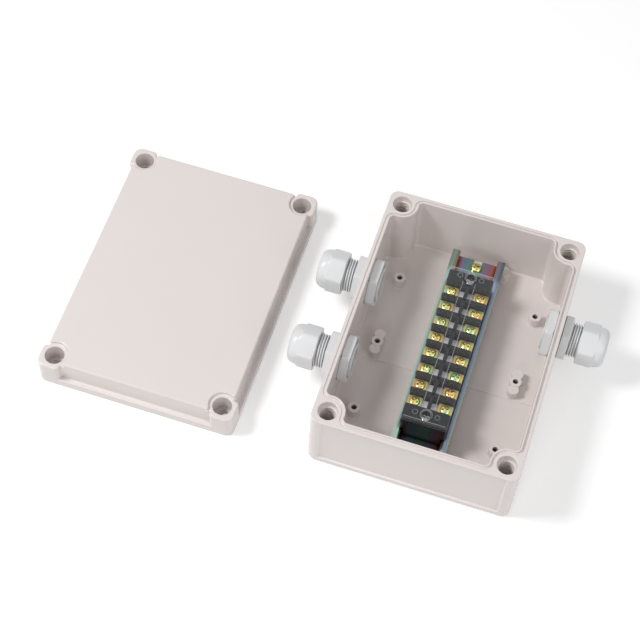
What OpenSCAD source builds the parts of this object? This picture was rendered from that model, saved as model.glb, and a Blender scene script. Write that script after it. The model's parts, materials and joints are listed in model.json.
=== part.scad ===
// Waterproof junction box, shown open: the base with its cable glands, its mounting rail
// and its terminal block, and the lid taken off and laid face up beside it.
// Frame: origin at the centre of the base's underside, X across, Y along, Z up. Millimetres.

/* [Box] */
// Width of the box
box_w = 128; // [116:1:150]
// Length of the box
box_l = 175; // [165:1:210]
// Height of the base up to its rim
base_h = 50.5; // [48:1:70]
// Radius of the upright outer corners
corner_r = 5.5; // [3:0.5:7]
// Radius of the edge round the base's underside
foot_r = 2; // [1:0.5:3]
// Thickness of the floor
floor_t = 3.5; // [2.5:0.5:5]
// Rim width, from the outside face to the inside wall
rim_w = 4.6; // [4.2:0.1:5.4]
// Depth of the shallow panels in the sides
panel_d = 1; // [0.4:0.1:1.2]
// Plain strip left at each upright corner beside a panel
panel_side = 6.5; // [5:0.5:12]
// Plain strip left under a panel
panel_foot = 4.5; // [3:0.5:8]
// Plain strip left over a panel
panel_head = 1.6; // [1:0.2:6]

/* [Rim] */
// Width of the raised lip round the opening
lip_w = 1.2; // [0.8:0.1:1.4]
// Height of the lip above the rim
lip_h = 0.9; // [0.4:0.1:1.5]
// Width of the groove outside the lip
groove_w = 1.2; // [0.8:0.1:1.4]
// Depth of the groove below the rim
groove_d = 1.2; // [0.6:0.1:2]

/* [Screw posts] */
// Distance of each screw hole from both outside faces
screw_inset = 9.2; // [8.8:0.1:10]
// Radius of the post round each screw hole
post_r = 10.5; // [10.2:0.1:12]
// Radius of the hollow where a post meets the wall
post_fillet = 3; // [2.5:0.5:4]
// Diameter of the wide mouth of a screw hole
mouth_d = 12; // [11:0.5:12.5]
// Depth of the wide mouth
mouth_depth = 5; // [3:0.5:8]
// Diameter of the thread that takes the lid screw, measured at its crests
thread_d = 9.6; // [8:0.2:10.4]
// Depth of the thread grooves
thread_groove = 0.5; // [0.2:0.1:0.6]
// Distance from one thread groove to the next
thread_pitch = 2.4; // [2:0.2:3]
// Number of thread grooves
thread_turns = 4; // [2:1:6]
// Diameter of the hole below the thread
well_d = 8; // [6:0.5:8]
// Diameter of the wall screw's hole through the underside
wall_hole_d = 4.6; // [3.5:0.1:6]

/* [Floor bosses] */
// Distance of the bosses from the box's middle line
boss_x = 45.2; // [40:0.2:46]
// Distance of the single bosses from the middle of the length
boss_y = 50; // [40:0.2:52]
// Diameter of a boss
boss_d = 7.8; // [6:0.2:9]
// Height of the bosses above the floor
boss_h = 7.4; // [5:0.2:9]
// Diameter of the hole in a boss
boss_hole_d = 3.5; // [2.5:0.1:4]
// Depth of the hole in a boss
boss_hole_depth = 6; // [3:0.5:8]
// Distance of the two solid lobes from the middle boss of a group of three
lobe_step = 5.7; // [4.5:0.1:7]
// Diameter of those lobes
lobe_d = 7.2; // [5.5:0.1:8]
// How far a lobe runs into the middle boss
lobe_lap = 0.2; // [0.1:0.1:0.5]
// Diameter of the bosses that carry the rail
rail_boss_d = 9.4; // [8:0.2:11]
// Diameter of the low round pads beside the rail's ends
pad_d = 8; // [6:0.5:9]
// Distance of those pads from the box's middle line
pad_x = 17.6; // [17:0.2:22]
// Distance of those pads from the middle of the length
pad_y = 76.8; // [74:0.2:78]
// Drop of the solid lobes and the pads below the bosses
lobe_drop = 0.6; // [0:0.1:1.5]
// Half the length of the slightly raised band across the floor
band_y = 10; // [6:0.5:16]
// Height of that band
band_h = 0.4; // [0.2:0.1:0.8]

/* [Lid] */
// Height of the lid at its corners
lid_corner_h = 20; // [18:0.5:26]
// Height of the raised panel above the corners
lid_panel_rise = 2; // [1:0.5:3]
// Setback of the lid's sides between its corners
lid_setback = 3.2; // [2:0.2:3.6]
// Height of the flange under the setback
lid_flange_h = 6.5; // [5.5:0.5:9]
// Length of a corner block along each side
lid_block = 15; // [13:0.5:20]
// Radius of the hollow that the panel leaves round a screw hole
lid_scoop_r = 8.3; // [7.5:0.1:9]
// Radius of the edge where that hollow meets the panel's sides
scoop_fillet = 1.5; // [1:0.1:2]
// Thickness of the lid's top
lid_top_t = 2.8; // [2:0.2:4]
// Radius of the lid's top edges
lid_edge_r = 1; // [0.4:0.1:1.5]
// Height of the ledge that a lid screw's head rests on
lid_ledge_h = 7; // [5:0.5:10]
// Diameter of the hole through that ledge
lid_hole_d = 8.4; // [7.5:0.2:9]
// Width of the square notch in the ledges on the lid's right side
notch_w = 5; // [4.6:0.1:5.4]
// Width of the rib inside the seal's groove
lid_rib_w = 1.5; // [1:0.1:2]
// Gap between the lid and the longest gland nut
lid_gap = 17.6; // [5:0.2:40]
// Distance of the lid's middle from the base's middle along the length
lid_y = -2; // [-20:1:20]

/* [Seal] */
// Depth of the seal's groove in the lid
seal_groove_d = 3.6; // [3:0.1:4.2]
// Thickness of the seal
seal_t = 2; // [1.5:0.1:2.6]
// Gap at each side of the seal in its groove
seal_gap = 0.15; // [0.05:0.05:0.3]

/* [Mounting rail] */
// Overall width of the rail
rail_w = 35; // [32:0.5:38]
// Outside width of the rail's channel
channel_w = 27; // [26:0.5:29]
// Height of the rail
rail_h = 7.5; // [6.5:0.5:9]
// Thickness of the rail's sheet
rail_t = 1; // [0.8:0.1:1.2]
// Gap from each end of the rail to the end wall
rail_end_gap = 5; // [4:0.5:12]
// Outside radius of the rail's bends
bend_r = 1.3; // [1.2:0.1:1.8]
// Width of the open slots at the rail's ends
slot_w = 5.3; // [4.6:0.1:6.5]
// Length of those slots
slot_l = 9.5; // [8:0.5:12]
// Distance of a rail screw from the rail's end
rail_screw_in = 6; // [5:0.5:8]

/* [Screws] */
// Height of the upright rim of a screw's head, as a share of the head
head_rim = 0.35; // [0.2:0.05:0.5]
// Diameter of the M4 screws' shanks
m4_d = 3.9; // [3:0.1:4]
// Radial clearance of a screw in its hole
screw_fit = 0.05; // [0.02:0.01:0.1]
// Diameter of the rail screws' heads
rail_head_d = 7; // [6.4:0.1:8]
// Height of the rail screws' heads
rail_head_h = 2.4; // [1.8:0.1:3]
// Length of a rail screw under its head
rail_screw_l = 6.5; // [5:0.5:8]
// Diameter of the terminal screws' heads
term_head_d = 6.6; // [5.5:0.1:7]
// Height of the terminal screws' heads
term_head_h = 2.3; // [1.8:0.1:2.6]
// Length of a terminal screw under its head
term_screw_l = 7; // [5:0.5:9]
// Width of the cross in a screw head
cross_w = 1.1; // [0.8:0.1:1.4]
// Length of the cross in a screw head
cross_l = 4.2; // [3:0.1:4.6]
// Depth of the cross
cross_depth = 1.4; // [0.8:0.1:1.6]

/* [Terminal block] */
// Number of poles
poles = 8; // [4:1:8]
// Distance from one pole to the next
pitch = 11.85; // [11:0.05:12]
// Width of the block above the rail
term_w = 28.8; // [27:0.2:31]
// Height of the block above the rail's channel
term_h = 21.2; // [20:0.2:24]
// Length of the lug beyond the poles at each end
lug_l = 7.7; // [7.5:0.1:13]
// Distance of the block's middle from the box's middle along the length
term_y = -2.3; // [-8:0.1:8]
// Thickness of the wall between two poles
barrier_t = 2.9; // [2:0.1:4]
// Thickness of the wall between the two rows
spine_t = 2.2; // [1.6:0.1:3]
// Height of the terminals' floor above the channel
deck_h = 14; // [12:0.2:15]
// Clearance of the block in the rail's channel, at each side
term_fit = 0.4; // [0.2:0.1:0.8]
// Gap round a mounting screw's head in its seat
seat_gap = 0.3; // [0.2:0.1:0.6]
// Room left under a screw in its blind hole
blind_gap = 0.5; // [0.3:0.1:1]
// How far a mounting screw stands out under the rail
screw_past = 1; // [0.5:0.1:2]

/* [Contacts] */
// Length of a contact strap across the block
strap_l = 27.4; // [25:0.2:28]
// Width of a contact strap
strap_w = 6.6; // [5:0.2:7.6]
// Thickness of a contact strap
strap_t = 1; // [0.8:0.1:1.4]
// Gap round a strap where it passes through the middle wall
strap_gap = 0.1; // [0.05:0.05:0.2]
// Distance of a terminal screw from the middle line
term_screw_x = 9.6; // [9:0.1:10]
// Length of a wire clamp across the block
clamp_l = 8.6; // [7.5:0.1:9]
// Width of a wire clamp along the block
clamp_w = 7.4; // [6.5:0.1:8]
// Thickness of a wire clamp
clamp_t = 1.3; // [0.8:0.1:1.6]

/* [Terminal cover] */
// Thickness of the clear cover
cover_t = 1.6; // [1.2:0.1:2.4]
// Gap under the cover
cover_gap = 0.3; // [0.2:0.05:0.5]
// Height of the cover's end walls
cover_skirt = 4; // [3:0.5:6]
// Thickness of the cover's end walls
cover_wall = 1.2; // [1:0.1:1.6]
// Distance of the cover's ribs from its middle line
cover_rib_x = 4; // [3:0.2:6]
// Width of a rib
cover_rib_w = 0.6; // [0.4:0.1:1]
// Height of a rib
cover_rib_h = 0.4; // [0.2:0.1:0.8]
// Outside diameter of the rings over the mounting screws
ring_d = 7.4; // [6.5:0.1:8]
// Width of the rings
ring_w = 0.9; // [0.6:0.1:1.2]
// Depth of the mounting screws' seats below the block's top
lug_recess = 4.5; // [3.5:0.1:6]
// Distance of a mounting screw from the block's end
mount_in = 5.2; // [5.2:0.1:6]

/* [Cable glands] */
// Height of the glands' axis above the underside
gland_z = 30; // [24:0.5:32]
// Distance of the glands from the middle of the length
gland_y = 29; // [26:0.5:34]
// Outside diameter of the thread through the wall
entry_d = 22.5; // [20:0.5:23]
// Radial clearance of the gland in the wall, washer and locknut
entry_fit = 0.1; // [0.05:0.05:0.2]
// Width across flats of the gland's body
body_af = 27; // [25:0.5:28]
// Length of the body's hexagon
body_hex_l = 5; // [4:0.5:6]
// Thickness of the sealing washer
washer_t = 1.5; // [1:0.1:2]
// Outside diameter of the sealing washer
washer_d = 26.4; // [25.5:0.1:27]
// Width across flats of the locknut
locknut_af = 29; // [27:0.5:31]
// Thickness of the locknut
locknut_t = 5.8; // [5:0.1:7]
// Length of thread that stands out past the locknut
tail_l = 1; // [0.5:0.1:2]
// Chamfer at the corners of the body's hexagon
body_chamfer = 0.6; // [0.4:0.1:1.2]
// Chamfer at the corners of the locknut
locknut_chamfer = 1; // [0.4:0.1:1.5]
// Diameter of the thread that takes the dome nut
neck_d = 21.4; // [20.4:0.1:21.6]
// Length of thread that shows between the hexagon and the nut
neck_show = 6.6; // [4:0.2:8]
// Length of thread inside the nut
neck_in = 9; // [7:0.5:10]
// Distance from one turn of the neck's thread to the next
neck_pitch = 1.65; // [1.4:0.05:2]
// Depth of the neck's thread
neck_groove = 0.6; // [0.4:0.1:0.8]
// Number of slits that part the clamping fingers
fingers = 8; // [6:1:10]
// Width of those slits
slit_w = 1; // [0.6:0.1:1.5]
// Length of those slits
slit_l = 5.5; // [4:0.5:7]
// Diameter of the passage through the body
passage_d = 15; // [12:0.5:15.5]

/* [Gland nuts and bushes] */
// Width across flats of the dome nut
nut_af = 24; // [23.8:0.1:26]
// Length of the dome nut
nut_l = 17.6; // [17:0.2:22]
// Chamfer at the hexagon's corners
nut_chamfer = 0.6; // [0.3:0.1:1]
// Radius of the round nose where it leaves the hexagon
nose_base_r = 12.7; // [12.2:0.1:13.2]
// Radius of the nose's rounded end
nose_r = 6.8; // [6:0.2:7.6]
// Thickness of the nose round its opening
nose_t = 2.5; // [2:0.1:3]
// Diameter of the opening in the nut's nose
nose_d = 15; // [13.5:0.5:16]
// Radial clearance between the neck and the nut
nut_fit = 0.1; // [0.05:0.01:0.1]
// Length of the nut's bore past the end of the neck
nut_runout = 1.5; // [1:0.1:2]
// Room round the bush inside the nut
bush_room = 0.7; // [0.4:0.1:1]
// Radial clearance of the bush in the neck
bush_fit = 0.05; // [0.02:0.01:0.1]
// Length of the bush inside the neck
bush_in = 8; // [6:0.5:8.5]
// Outside diameter of the rubber bush
bush_d = 17; // [16:0.2:17.4]
// Diameter of the cable's hole in the bush
bush_hole_d = 11; // [8:0.5:12]
// Length of the rubber bush
bush_l = 13; // [11:0.5:14]

/* [Hidden] */
$fn = 48;

// How far a cut runs past the face that it opens
over = 1;
// How far one form runs into the form that it grows from
root = 0.5;

// How far each kind of screw happened to be turned when it was tight, in degrees
rail_screw_turn = 25;
pole_turn = 37;
row_turn = 20;
mount_turn = 15;

// Angle at which the dome of a screw's head leaves its upright rim, in degrees
dome_start = 15;

// Half sizes of the box
half_w = box_w / 2;
half_l = box_l / 2;
in_x = half_w - rim_w;
in_y = half_l - rim_w;
hole_x = half_w - screw_inset;
hole_y = half_l - screw_inset;

// Heights in the base
boss_top = floor_t + boss_h;
channel_top = boss_top + rail_t;
rail_top = boss_top + rail_h;
rail_y = in_y - rail_end_gap;
rail_screw_y = rail_y - rail_screw_in;
tap_bottom = base_h - mouth_depth - thread_turns * thread_pitch - thread_pitch;

// The lid
lid_h = lid_corner_h + lid_panel_rise;
panel_x = half_w - lid_setback;
panel_y = half_l - lid_setback;
notch_y = lid_hole_d / 4;
seal_in = -seal_gap;
seal_out = lip_w + groove_w;

// The terminal block
poles_l = poles * pitch + barrier_t;
term_l = poles_l + 2 * lug_l;
deck_z = channel_top + deck_h;
term_top = channel_top + term_h;
strap_top = deck_z + strap_t;
clamp_top = strap_top + clamp_t;
foot_w = channel_w - 2 * rail_t - 2 * term_fit;
cover_z = term_top + cover_gap;
cover_l = term_l - cover_wall;
mount_y = term_l / 2 - mount_in;
lug_head_z = term_top - lug_recess;

// The glands: places along their own axis, measured outwards from the panel's face
wall_x = half_w - panel_d;
wall_t = wall_x - in_x;
hex_start = washer_t;
hex_end = hex_start + body_hex_l;
nut_start = hex_end + neck_show;
neck_end = nut_start + neck_in;
nut_end = nut_start + nut_l;
nut_hex_l = nut_l - nose_r + nut_chamfer;
entry_end = -wall_t - locknut_t;
bush_start = neck_end - bush_in;
lid_x = -(wall_x + nut_end + lid_gap + half_w);

plastic = "#D8D2CE";
nylon = "#DADBDD";
rubber = "#3A3A3C";
black = "#141416";
zinc = "#B9B48A";
brass = "#C9B45C";

// Points of an arc round c, from angle a0 to angle a1 in n steps
function arc(c, r, a0, a1, n) =
  [for (i = [0:n]) let (a = a0 + (a1 - a0) * i / n) c + r * [cos(a), sin(a)]];

// The same arc without its two end points
function arc_inside(c, r, a0, a1, n) =
  [for (i = [1:n - 1]) let (a = a0 + (a1 - a0) * i / n) c + r * [cos(a), sin(a)]];

function backwards(list) = [for (i = [len(list) - 1:-1:0]) list[i]];

// One corner of an outline that swings round a screw hole: the outline's half sizes are x and y,
// it keeps r away from the hole and meets the two sides in arcs of radius f
function swung_corner(x, y, r, f) =
  let (
    a = x - hole_x,
    b = y - hole_y,
    c1 = [a - f, -sqrt(pow(r + f, 2) - pow(a - f, 2))],
    c2 = [-sqrt(pow(r + f, 2) - pow(b - f, 2)), b - f],
    points = concat(
      arc(c1, f, 0, atan2(-c1.y, -c1.x), 8),
      arc_inside([0, 0], r, atan2(c1.y, c1.x), atan2(c2.y, c2.x) - 360, 16),
      arc(c2, f, atan2(-c2.y, -c2.x), 90, 8)
    )
  )
  [for (p = points) p + [hole_x, hole_y]];

// An outline with four such corners
function swung_outline(x, y, r, f) =
  let (q = swung_corner(x, y, r, f), back = backwards(q))
  concat(
    q,
    [for (p = back) [-p.x, p.y]],
    [for (p = q) -p],
    [for (p = back) [p.x, -p.y]]
  );

// The base's opening, grown by g
module opening_2d(g) {
  polygon(swung_outline(in_x + g, in_y + g, post_r - g, post_fillet + g));
}

module opening_ring_2d(outer, inner) {
  difference() {
    opening_2d(outer);
    opening_2d(inner);
  }
}

// Plain outline of the box, built from true arcs
module box_2d() {
  square([box_w - 2 * corner_r, box_l], center = true);
  square([box_w, box_l - 2 * corner_r], center = true);
  for (sx = [-1, 1], sy = [-1, 1])
    translate([sx * (half_w - corner_r), sy * (half_l - corner_r)]) circle(corner_r);
}

module at_screw_holes() {
  for (sx = [-1, 1], sy = [-1, 1])
    translate([sx * hole_x, sy * hole_y, 0]) children();
}

// A quarter round edge along Y, with its round side towards +X and down
module foot_edge(length) {
  rotate([90, 0, 0])
    linear_extrude(length, center = true)
      intersection() {
        circle(foot_r);
        translate([0, -foot_r]) square([foot_r, foot_r]);
      }
}

// Outside of the base, with a rounded edge underneath
module base_block() {
  run_x = box_w - 2 * corner_r;
  run_y = box_l - 2 * corner_r;
  translate([0, 0, foot_r]) linear_extrude(base_h - foot_r) box_2d();
  translate([0, 0, foot_r / 2]) {
    cube([run_x, box_l - 2 * foot_r, foot_r], center = true);
    cube([box_w - 2 * foot_r, run_y, foot_r], center = true);
  }
  for (s = [-1, 1]) {
    rotate([0, 0, s < 0 ? 180 : 0]) translate([half_w - foot_r, 0, foot_r]) foot_edge(run_y);
    rotate([0, 0, s * 90]) translate([half_l - foot_r, 0, foot_r]) foot_edge(run_x);
  }
  for (sx = [-1, 1], sy = [-1, 1])
    translate([sx * (half_w - corner_r), sy * (half_l - corner_r), foot_r])
      rotate_extrude() {
        translate([0, -foot_r]) square([corner_r - foot_r, foot_r]);
        translate([corner_r - foot_r, 0])
          intersection() {
            circle(foot_r);
            translate([0, -foot_r]) square([foot_r, foot_r]);
          }
      }
}

// A shallow panel with sloping borders, cut into the face that looks along +X
module panel_cut(face, half_run) {
  z0 = panel_foot;
  z1 = base_h - panel_head;
  intersection() {
    rotate([90, 0, 0])
      linear_extrude(2 * half_run + 2 * over, center = true)
        polygon([
          [face - panel_d, z0 + panel_d], [face + over, z0 - over],
          [face + over, z1 + over], [face - panel_d, z1 - panel_d]
        ]);
    linear_extrude(base_h + over)
      polygon([
        [face - panel_d, panel_d - half_run], [face + over, -half_run - over],
        [face + over, half_run + over], [face - panel_d, half_run - panel_d]
      ]);
  }
}

// A screw hole of the base: wide mouth, thread, well and the wall screw's hole
module screw_hole() {
  cylinder(h = base_h + over, d = wall_hole_d);
  translate([0, 0, floor_t + over]) cylinder(h = base_h, d = well_d);
  translate([0, 0, tap_bottom]) cylinder(h = base_h, d = thread_d);
  translate([0, 0, base_h - mouth_depth]) cylinder(h = mouth_depth + lip_h + over, d = mouth_d);
  for (i = [0:thread_turns - 1])
    translate([0, 0, tap_bottom + (i + 0.5) * thread_pitch])
      cylinder(h = thread_pitch / 2, d = thread_d + 2 * thread_groove);
}

// A boss with a blind screw hole
module boss(d, hole_d) {
  top = boss_top;
  difference() {
    translate([0, 0, floor_t - root]) cylinder(h = top - floor_t + root, d = d);
    translate([0, 0, top - boss_hole_depth]) cylinder(h = boss_hole_depth + over, d = hole_d);
  }
}

module floor_bosses() {
  for (sx = [-1, 1], sy = [-1, 1])
    translate([sx * boss_x, sy * boss_y, 0]) boss(boss_d, boss_hole_d);
  for (sx = [-1, 1])
    translate([sx * boss_x, 0, 0]) {
      boss(boss_d, boss_hole_d);
      for (sy = [-1, 1])
        difference() {
          translate([0, sy * lobe_step, floor_t - root])
            cylinder(h = boss_h + root - lobe_drop, d = lobe_d);
          cylinder(h = base_h, d = boss_d - 2 * lobe_lap);
        }
    }
}

// The two bosses that carry the rail, and the pads beside its ends
module rail_bosses() {
  for (s = [-1, 1]) {
    translate([0, s * rail_screw_y, 0]) boss(rail_boss_d, m4_d + 2 * screw_fit);
    translate([s * pad_x, s * pad_y, floor_t - root])
      cylinder(h = boss_h + root - lobe_drop, d = pad_d);
  }
}

module gland_holes() {
  for (p = gland_places())
    translate([p.x * wall_x, p.y, gland_z]) rotate([0, p.x * 90, 0])
      translate([0, 0, -wall_t - over])
        cylinder(h = wall_t + rim_w, d = entry_d + 2 * entry_fit);
}

module base() color(plastic) {
  difference() {
    union() {
      base_block();
      translate([0, 0, base_h - over]) linear_extrude(over + lip_h) opening_2d(lip_w);
    }
    translate([0, 0, floor_t]) linear_extrude(base_h) opening_2d(0);
    translate([0, 0, base_h - groove_d])
      linear_extrude(groove_d + lip_h + over)
        opening_ring_2d(lip_w + groove_w, lip_w);
    for (a = [0, 180]) {
      rotate([0, 0, a]) panel_cut(half_w, half_l - panel_side);
      rotate([0, 0, a + 90]) panel_cut(half_l, half_w - panel_side);
    }
    at_screw_holes() screw_hole();
    gland_holes();
  }
  translate([0, 0, floor_t - over])
    linear_extrude(over + band_h)
      square([2 * in_x + over, 2 * band_y], center = true);
  floor_bosses();
  rail_bosses();
}

// Places of the glands: side of the box, and distance along its length
function gland_places() = [[-1, gland_y], [-1, -gland_y], [1, gland_y]];

// A cutter that rounds a straight edge along X: its corner lies on the axis
module edge_cutter(length, r) {
  rotate([90, 0, 90])
    linear_extrude(length, center = true)
      difference() {
        translate([-r, -r]) square(r + over);
        translate([-r, -r]) circle(r, $fn = 32);
      }
}

module lid_outside() {
  linear_extrude(lid_flange_h) box_2d();
  linear_extrude(lid_corner_h)
    intersection() {
      box_2d();
      union() {
        square([2 * panel_x, 2 * panel_y], center = true);
        for (sx = [-1, 1], sy = [-1, 1])
          translate([sx * half_w, sy * half_l]) square(2 * lid_block, center = true);
      }
    }
  linear_extrude(lid_h)
    polygon(swung_outline(panel_x, panel_y, lid_scoop_r, scoop_fillet));
}

module lid_edges() {
  for (s = [-1, 1]) {
    translate([0, s * panel_y, lid_h]) rotate([0, 0, s < 0 ? 180 : 0])
      edge_cutter(box_w, lid_edge_r);
    translate([s * panel_x, 0, lid_h]) rotate([0, 0, s < 0 ? 90 : -90])
      edge_cutter(box_l, lid_edge_r);
  }
}

module lid_hole(notched) {
  translate([0, 0, lid_ledge_h]) cylinder(h = lid_h, d = mouth_d);
  if (notched)
    translate([0, notch_y, lid_ledge_h / 2]) rotate([0, 0, 45])
      cube([notch_w, notch_w, lid_ledge_h + 2 * over], center = true);
  translate([0, 0, -over]) cylinder(h = lid_h, d = lid_hole_d);
}

module lid() color(plastic) translate([lid_x, lid_y, 0])
  difference() {
    lid_outside();
    lid_edges();
    translate([0, 0, -over]) linear_extrude(lid_h - lid_top_t + over)
      opening_2d(seal_in - lid_rib_w);
    translate([0, 0, -over]) linear_extrude(seal_groove_d + over)
      opening_ring_2d(seal_out, seal_in);
    for (sx = [-1, 1], sy = [-1, 1])
      translate([sx * hole_x, sy * hole_y, 0]) lid_hole(sx > 0);
  }

module lid_seal() color(rubber) translate([lid_x, lid_y, seal_groove_d - seal_t])
  linear_extrude(seal_t)
    opening_ring_2d(seal_out - seal_gap, 0);

// Section of the rail, with its channel's underside on the X axis
module rail_2d() {
  c = channel_w / 2;
  w = rail_w / 2;
  r = bend_r;
  s = bend_r - rail_t;
  right = concat(
    arc([c - r, r], r, -90, 0, 5),
    arc([c + s, rail_h - rail_t - s], s, 180, 90, 3),
    [[w, rail_h - rail_t], [w, rail_h]],
    arc([c - rail_t + r, rail_h - r], r, 90, 180, 5),
    arc([c - rail_t - s, rail_t + s], s, 0, -90, 3)
  );
  polygon(concat(right, [for (p = backwards(right)) [-p.x, p.y]]));
}

module mounting_rail() color(zinc)
  difference() {
    translate([0, 0, boss_top]) rotate([90, 0, 0])
      linear_extrude(2 * rail_y, center = true) rail_2d();
    for (s = [-1, 1]) {
      translate([0, s * (rail_y - slot_l + slot_w / 2), boss_top - over])
        cylinder(h = rail_t + 2 * over, d = slot_w);
      translate([0, s * (rail_y - (slot_l - slot_w / 2) / 2 + over / 2), boss_top])
        cube([slot_w, slot_l - slot_w / 2 + over, 2 * rail_t + over], center = true);
      translate([0, term_y + s * mount_y, boss_top - over])
        cylinder(h = rail_t + 2 * over, d = m4_d + 2 * screw_fit);
    }
  }

// A pan-head screw with a cross: its head rests on the XY plane
module pan_screw(head_d, head_h, length) {
  r = head_d / 2;
  rim = head_h * head_rim;
  dome = head_h - rim;
  difference() {
    union() {
      rotate_extrude()
        polygon(concat(
          [[0, 0], [r, 0], [r, rim]],
          arc([r - dome, rim], dome, dome_start, 90, 5),
          [[0, head_h]]
        ));
      translate([0, 0, -length]) cylinder(h = length + root, d = m4_d);
    }
    for (a = [0, 90])
      rotate([0, 0, a]) translate([-cross_l / 2, -cross_w / 2, head_h - cross_depth])
        cube([cross_l, cross_w, cross_depth + over]);
  }
}

module rail_screws() color(brass)
  for (s = [-1, 1])
    translate([0, s * rail_screw_y, channel_top]) rotate([0, 0, rail_screw_turn])
      pan_screw(rail_head_d, rail_head_h, rail_screw_l);

function pole_y(i) = term_y + (i - (poles - 1) / 2) * pitch;

module at_terminals() {
  for (i = [0:poles - 1], s = [-1, 1])
    translate([s * term_screw_x, pole_y(i), 0]) children();
}

module terminal_body() color(black)
  difference() {
    union() {
      translate([-foot_w / 2, term_y - term_l / 2, channel_top])
        cube([foot_w, term_l, term_h]);
      translate([-term_w / 2, term_y - term_l / 2, rail_top + term_fit])
        cube([term_w, term_l, term_top - rail_top - term_fit]);
    }
    for (i = [0:poles - 1], s = [-1, 1])
      translate([
        s > 0 ? spine_t / 2 : -term_w / 2 - over,
        pole_y(i) - (pitch - barrier_t) / 2, deck_z
      ])
        cube([term_w / 2 + over - spine_t / 2, pitch - barrier_t, term_h]);
    for (i = [0:poles - 1])
      translate([0, pole_y(i), deck_z])
        cube([term_w, strap_w + 2 * strap_gap, 2 * (strap_t + strap_gap)], center = true);
    at_terminals()
      translate([0, 0, clamp_top - term_screw_l - blind_gap])
        cylinder(h = term_h, d = m4_d + 2 * screw_fit);
    for (s = [-1, 1]) {
      translate([0, term_y + s * mount_y, channel_top - over])
        cylinder(h = term_h + 2 * over, d = m4_d + 2 * screw_fit);
      translate([0, term_y + s * mount_y, lug_head_z])
        cylinder(h = term_h, d = rail_head_d + 2 * seat_gap);
      translate([0, term_y + s * (term_l / 2), term_top])
        cube([term_w + over, 2 * (cover_wall + cover_gap), 2 * cover_skirt], center = true);
    }
  }

module contact_straps() color("#C8C8C6")
  difference() {
    for (i = [0:poles - 1])
      translate([-strap_l / 2, pole_y(i) - strap_w / 2, deck_z])
        cube([strap_l, strap_w, strap_t]);
    at_terminals()
      translate([0, 0, deck_z - over]) cylinder(h = strap_t + 2 * over, d = m4_d + 2 * screw_fit);
  }

module wire_clamps() color(brass)
  at_terminals()
    translate([0, 0, strap_top])
      difference() {
        translate([-clamp_l / 2, -clamp_w / 2, 0]) cube([clamp_l, clamp_w, clamp_t]);
        translate([0, 0, -over]) cylinder(h = clamp_t + 2 * over, d = m4_d + 2 * screw_fit);
      }

module terminal_screws() color(brass)
  for (i = [0:poles - 1], s = [-1, 1])
    translate([s * term_screw_x, pole_y(i), clamp_top])
      rotate([0, 0, pole_turn * i + row_turn * s])
        pan_screw(term_head_d, term_head_h, term_screw_l);

module terminal_mount_screws() color("#B8B8B8")
  for (s = [-1, 1])
    translate([0, term_y + s * mount_y, lug_head_z]) rotate([0, 0, mount_turn + row_turn * s])
      pan_screw(rail_head_d, rail_head_h, lug_head_z - boss_top + screw_past);

module terminal_cover() color("#E8F0F4", 0.4)
  difference() {
    union() {
      translate([-term_w / 2, term_y - cover_l / 2 - cover_wall / 2, cover_z])
        cube([term_w, cover_l + cover_wall, cover_t]);
      for (s = [-1, 1]) {
        translate([-term_w / 2, term_y + s * (cover_l / 2) - cover_wall / 2, cover_z + root - cover_skirt])
          cube([term_w, cover_wall, cover_skirt]);
        translate([s * cover_rib_x - cover_rib_w / 2, term_y - poles_l / 2, cover_z + cover_t / 2])
          cube([cover_rib_w, poles_l, cover_t / 2 + cover_rib_h]);
        translate([0, term_y + s * mount_y, cover_z + cover_t / 2])
          cylinder(h = cover_t / 2 + cover_rib_h, d = ring_d);
      }
    }
    for (s = [-1, 1])
      translate([0, term_y + s * mount_y, cover_z + cover_t])
        cylinder(h = over, d = ring_d - 2 * ring_w);
  }

// Puts a part that is modelled along +Z, from the panel's face outwards, at gland number i
module at_gland(i) {
  p = gland_places()[i];
  translate([p.x * wall_x, p.y, gland_z]) rotate([0, p.x * 90, 0]) children();
}

// A hexagonal bar with both ends chamfered, one flat facing up once it is in place
module hex_bar(af, length, chamfer) {
  intersection() {
    cylinder(h = length, d = af / cos(30), $fn = 6);
    rotate_extrude()
      polygon([
        [0, 0], [af / 2 / cos(30) - chamfer, 0], [af / 2 / cos(30), chamfer],
        [af / 2 / cos(30), length - chamfer], [af / 2 / cos(30) - chamfer, length], [0, length]
      ]);
  }
}

module gland_body(i) color(nylon) at_gland(i)
  difference() {
    union() {
      translate([0, 0, entry_end - tail_l])
        cylinder(h = hex_start - entry_end + tail_l + root, d = entry_d);
      translate([0, 0, hex_start]) rotate([0, 0, 30]) hex_bar(body_af, body_hex_l, body_chamfer);
      translate([0, 0, hex_end - root]) cylinder(h = neck_end - hex_end + root, d = neck_d);
    }
    for (z = [hex_end + neck_pitch / 2:neck_pitch:neck_end - neck_pitch])
      translate([0, 0, z])
        difference() {
          cylinder(h = neck_pitch / 2, d = neck_d + over);
          translate([0, 0, -over]) cylinder(h = neck_pitch + 2 * over, d = neck_d - 2 * neck_groove);
        }
    translate([0, 0, entry_end - tail_l - over])
      cylinder(h = neck_end - entry_end + tail_l + 2 * over, d = passage_d);
    translate([0, 0, bush_start]) cylinder(h = neck_end, d = bush_d + 2 * bush_fit);
    for (k = [0:fingers - 1])
      rotate([0, 0, k * 360 / fingers])
        translate([0, -slit_w / 2, neck_end - slit_l]) cube([neck_d, slit_w, slit_l + over]);
  }

module gland_washer(i) color(nylon) at_gland(i)
  difference() {
    cylinder(h = washer_t, d = washer_d);
    translate([0, 0, -over]) cylinder(h = washer_t + 2 * over, d = entry_d + 2 * entry_fit);
  }

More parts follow.
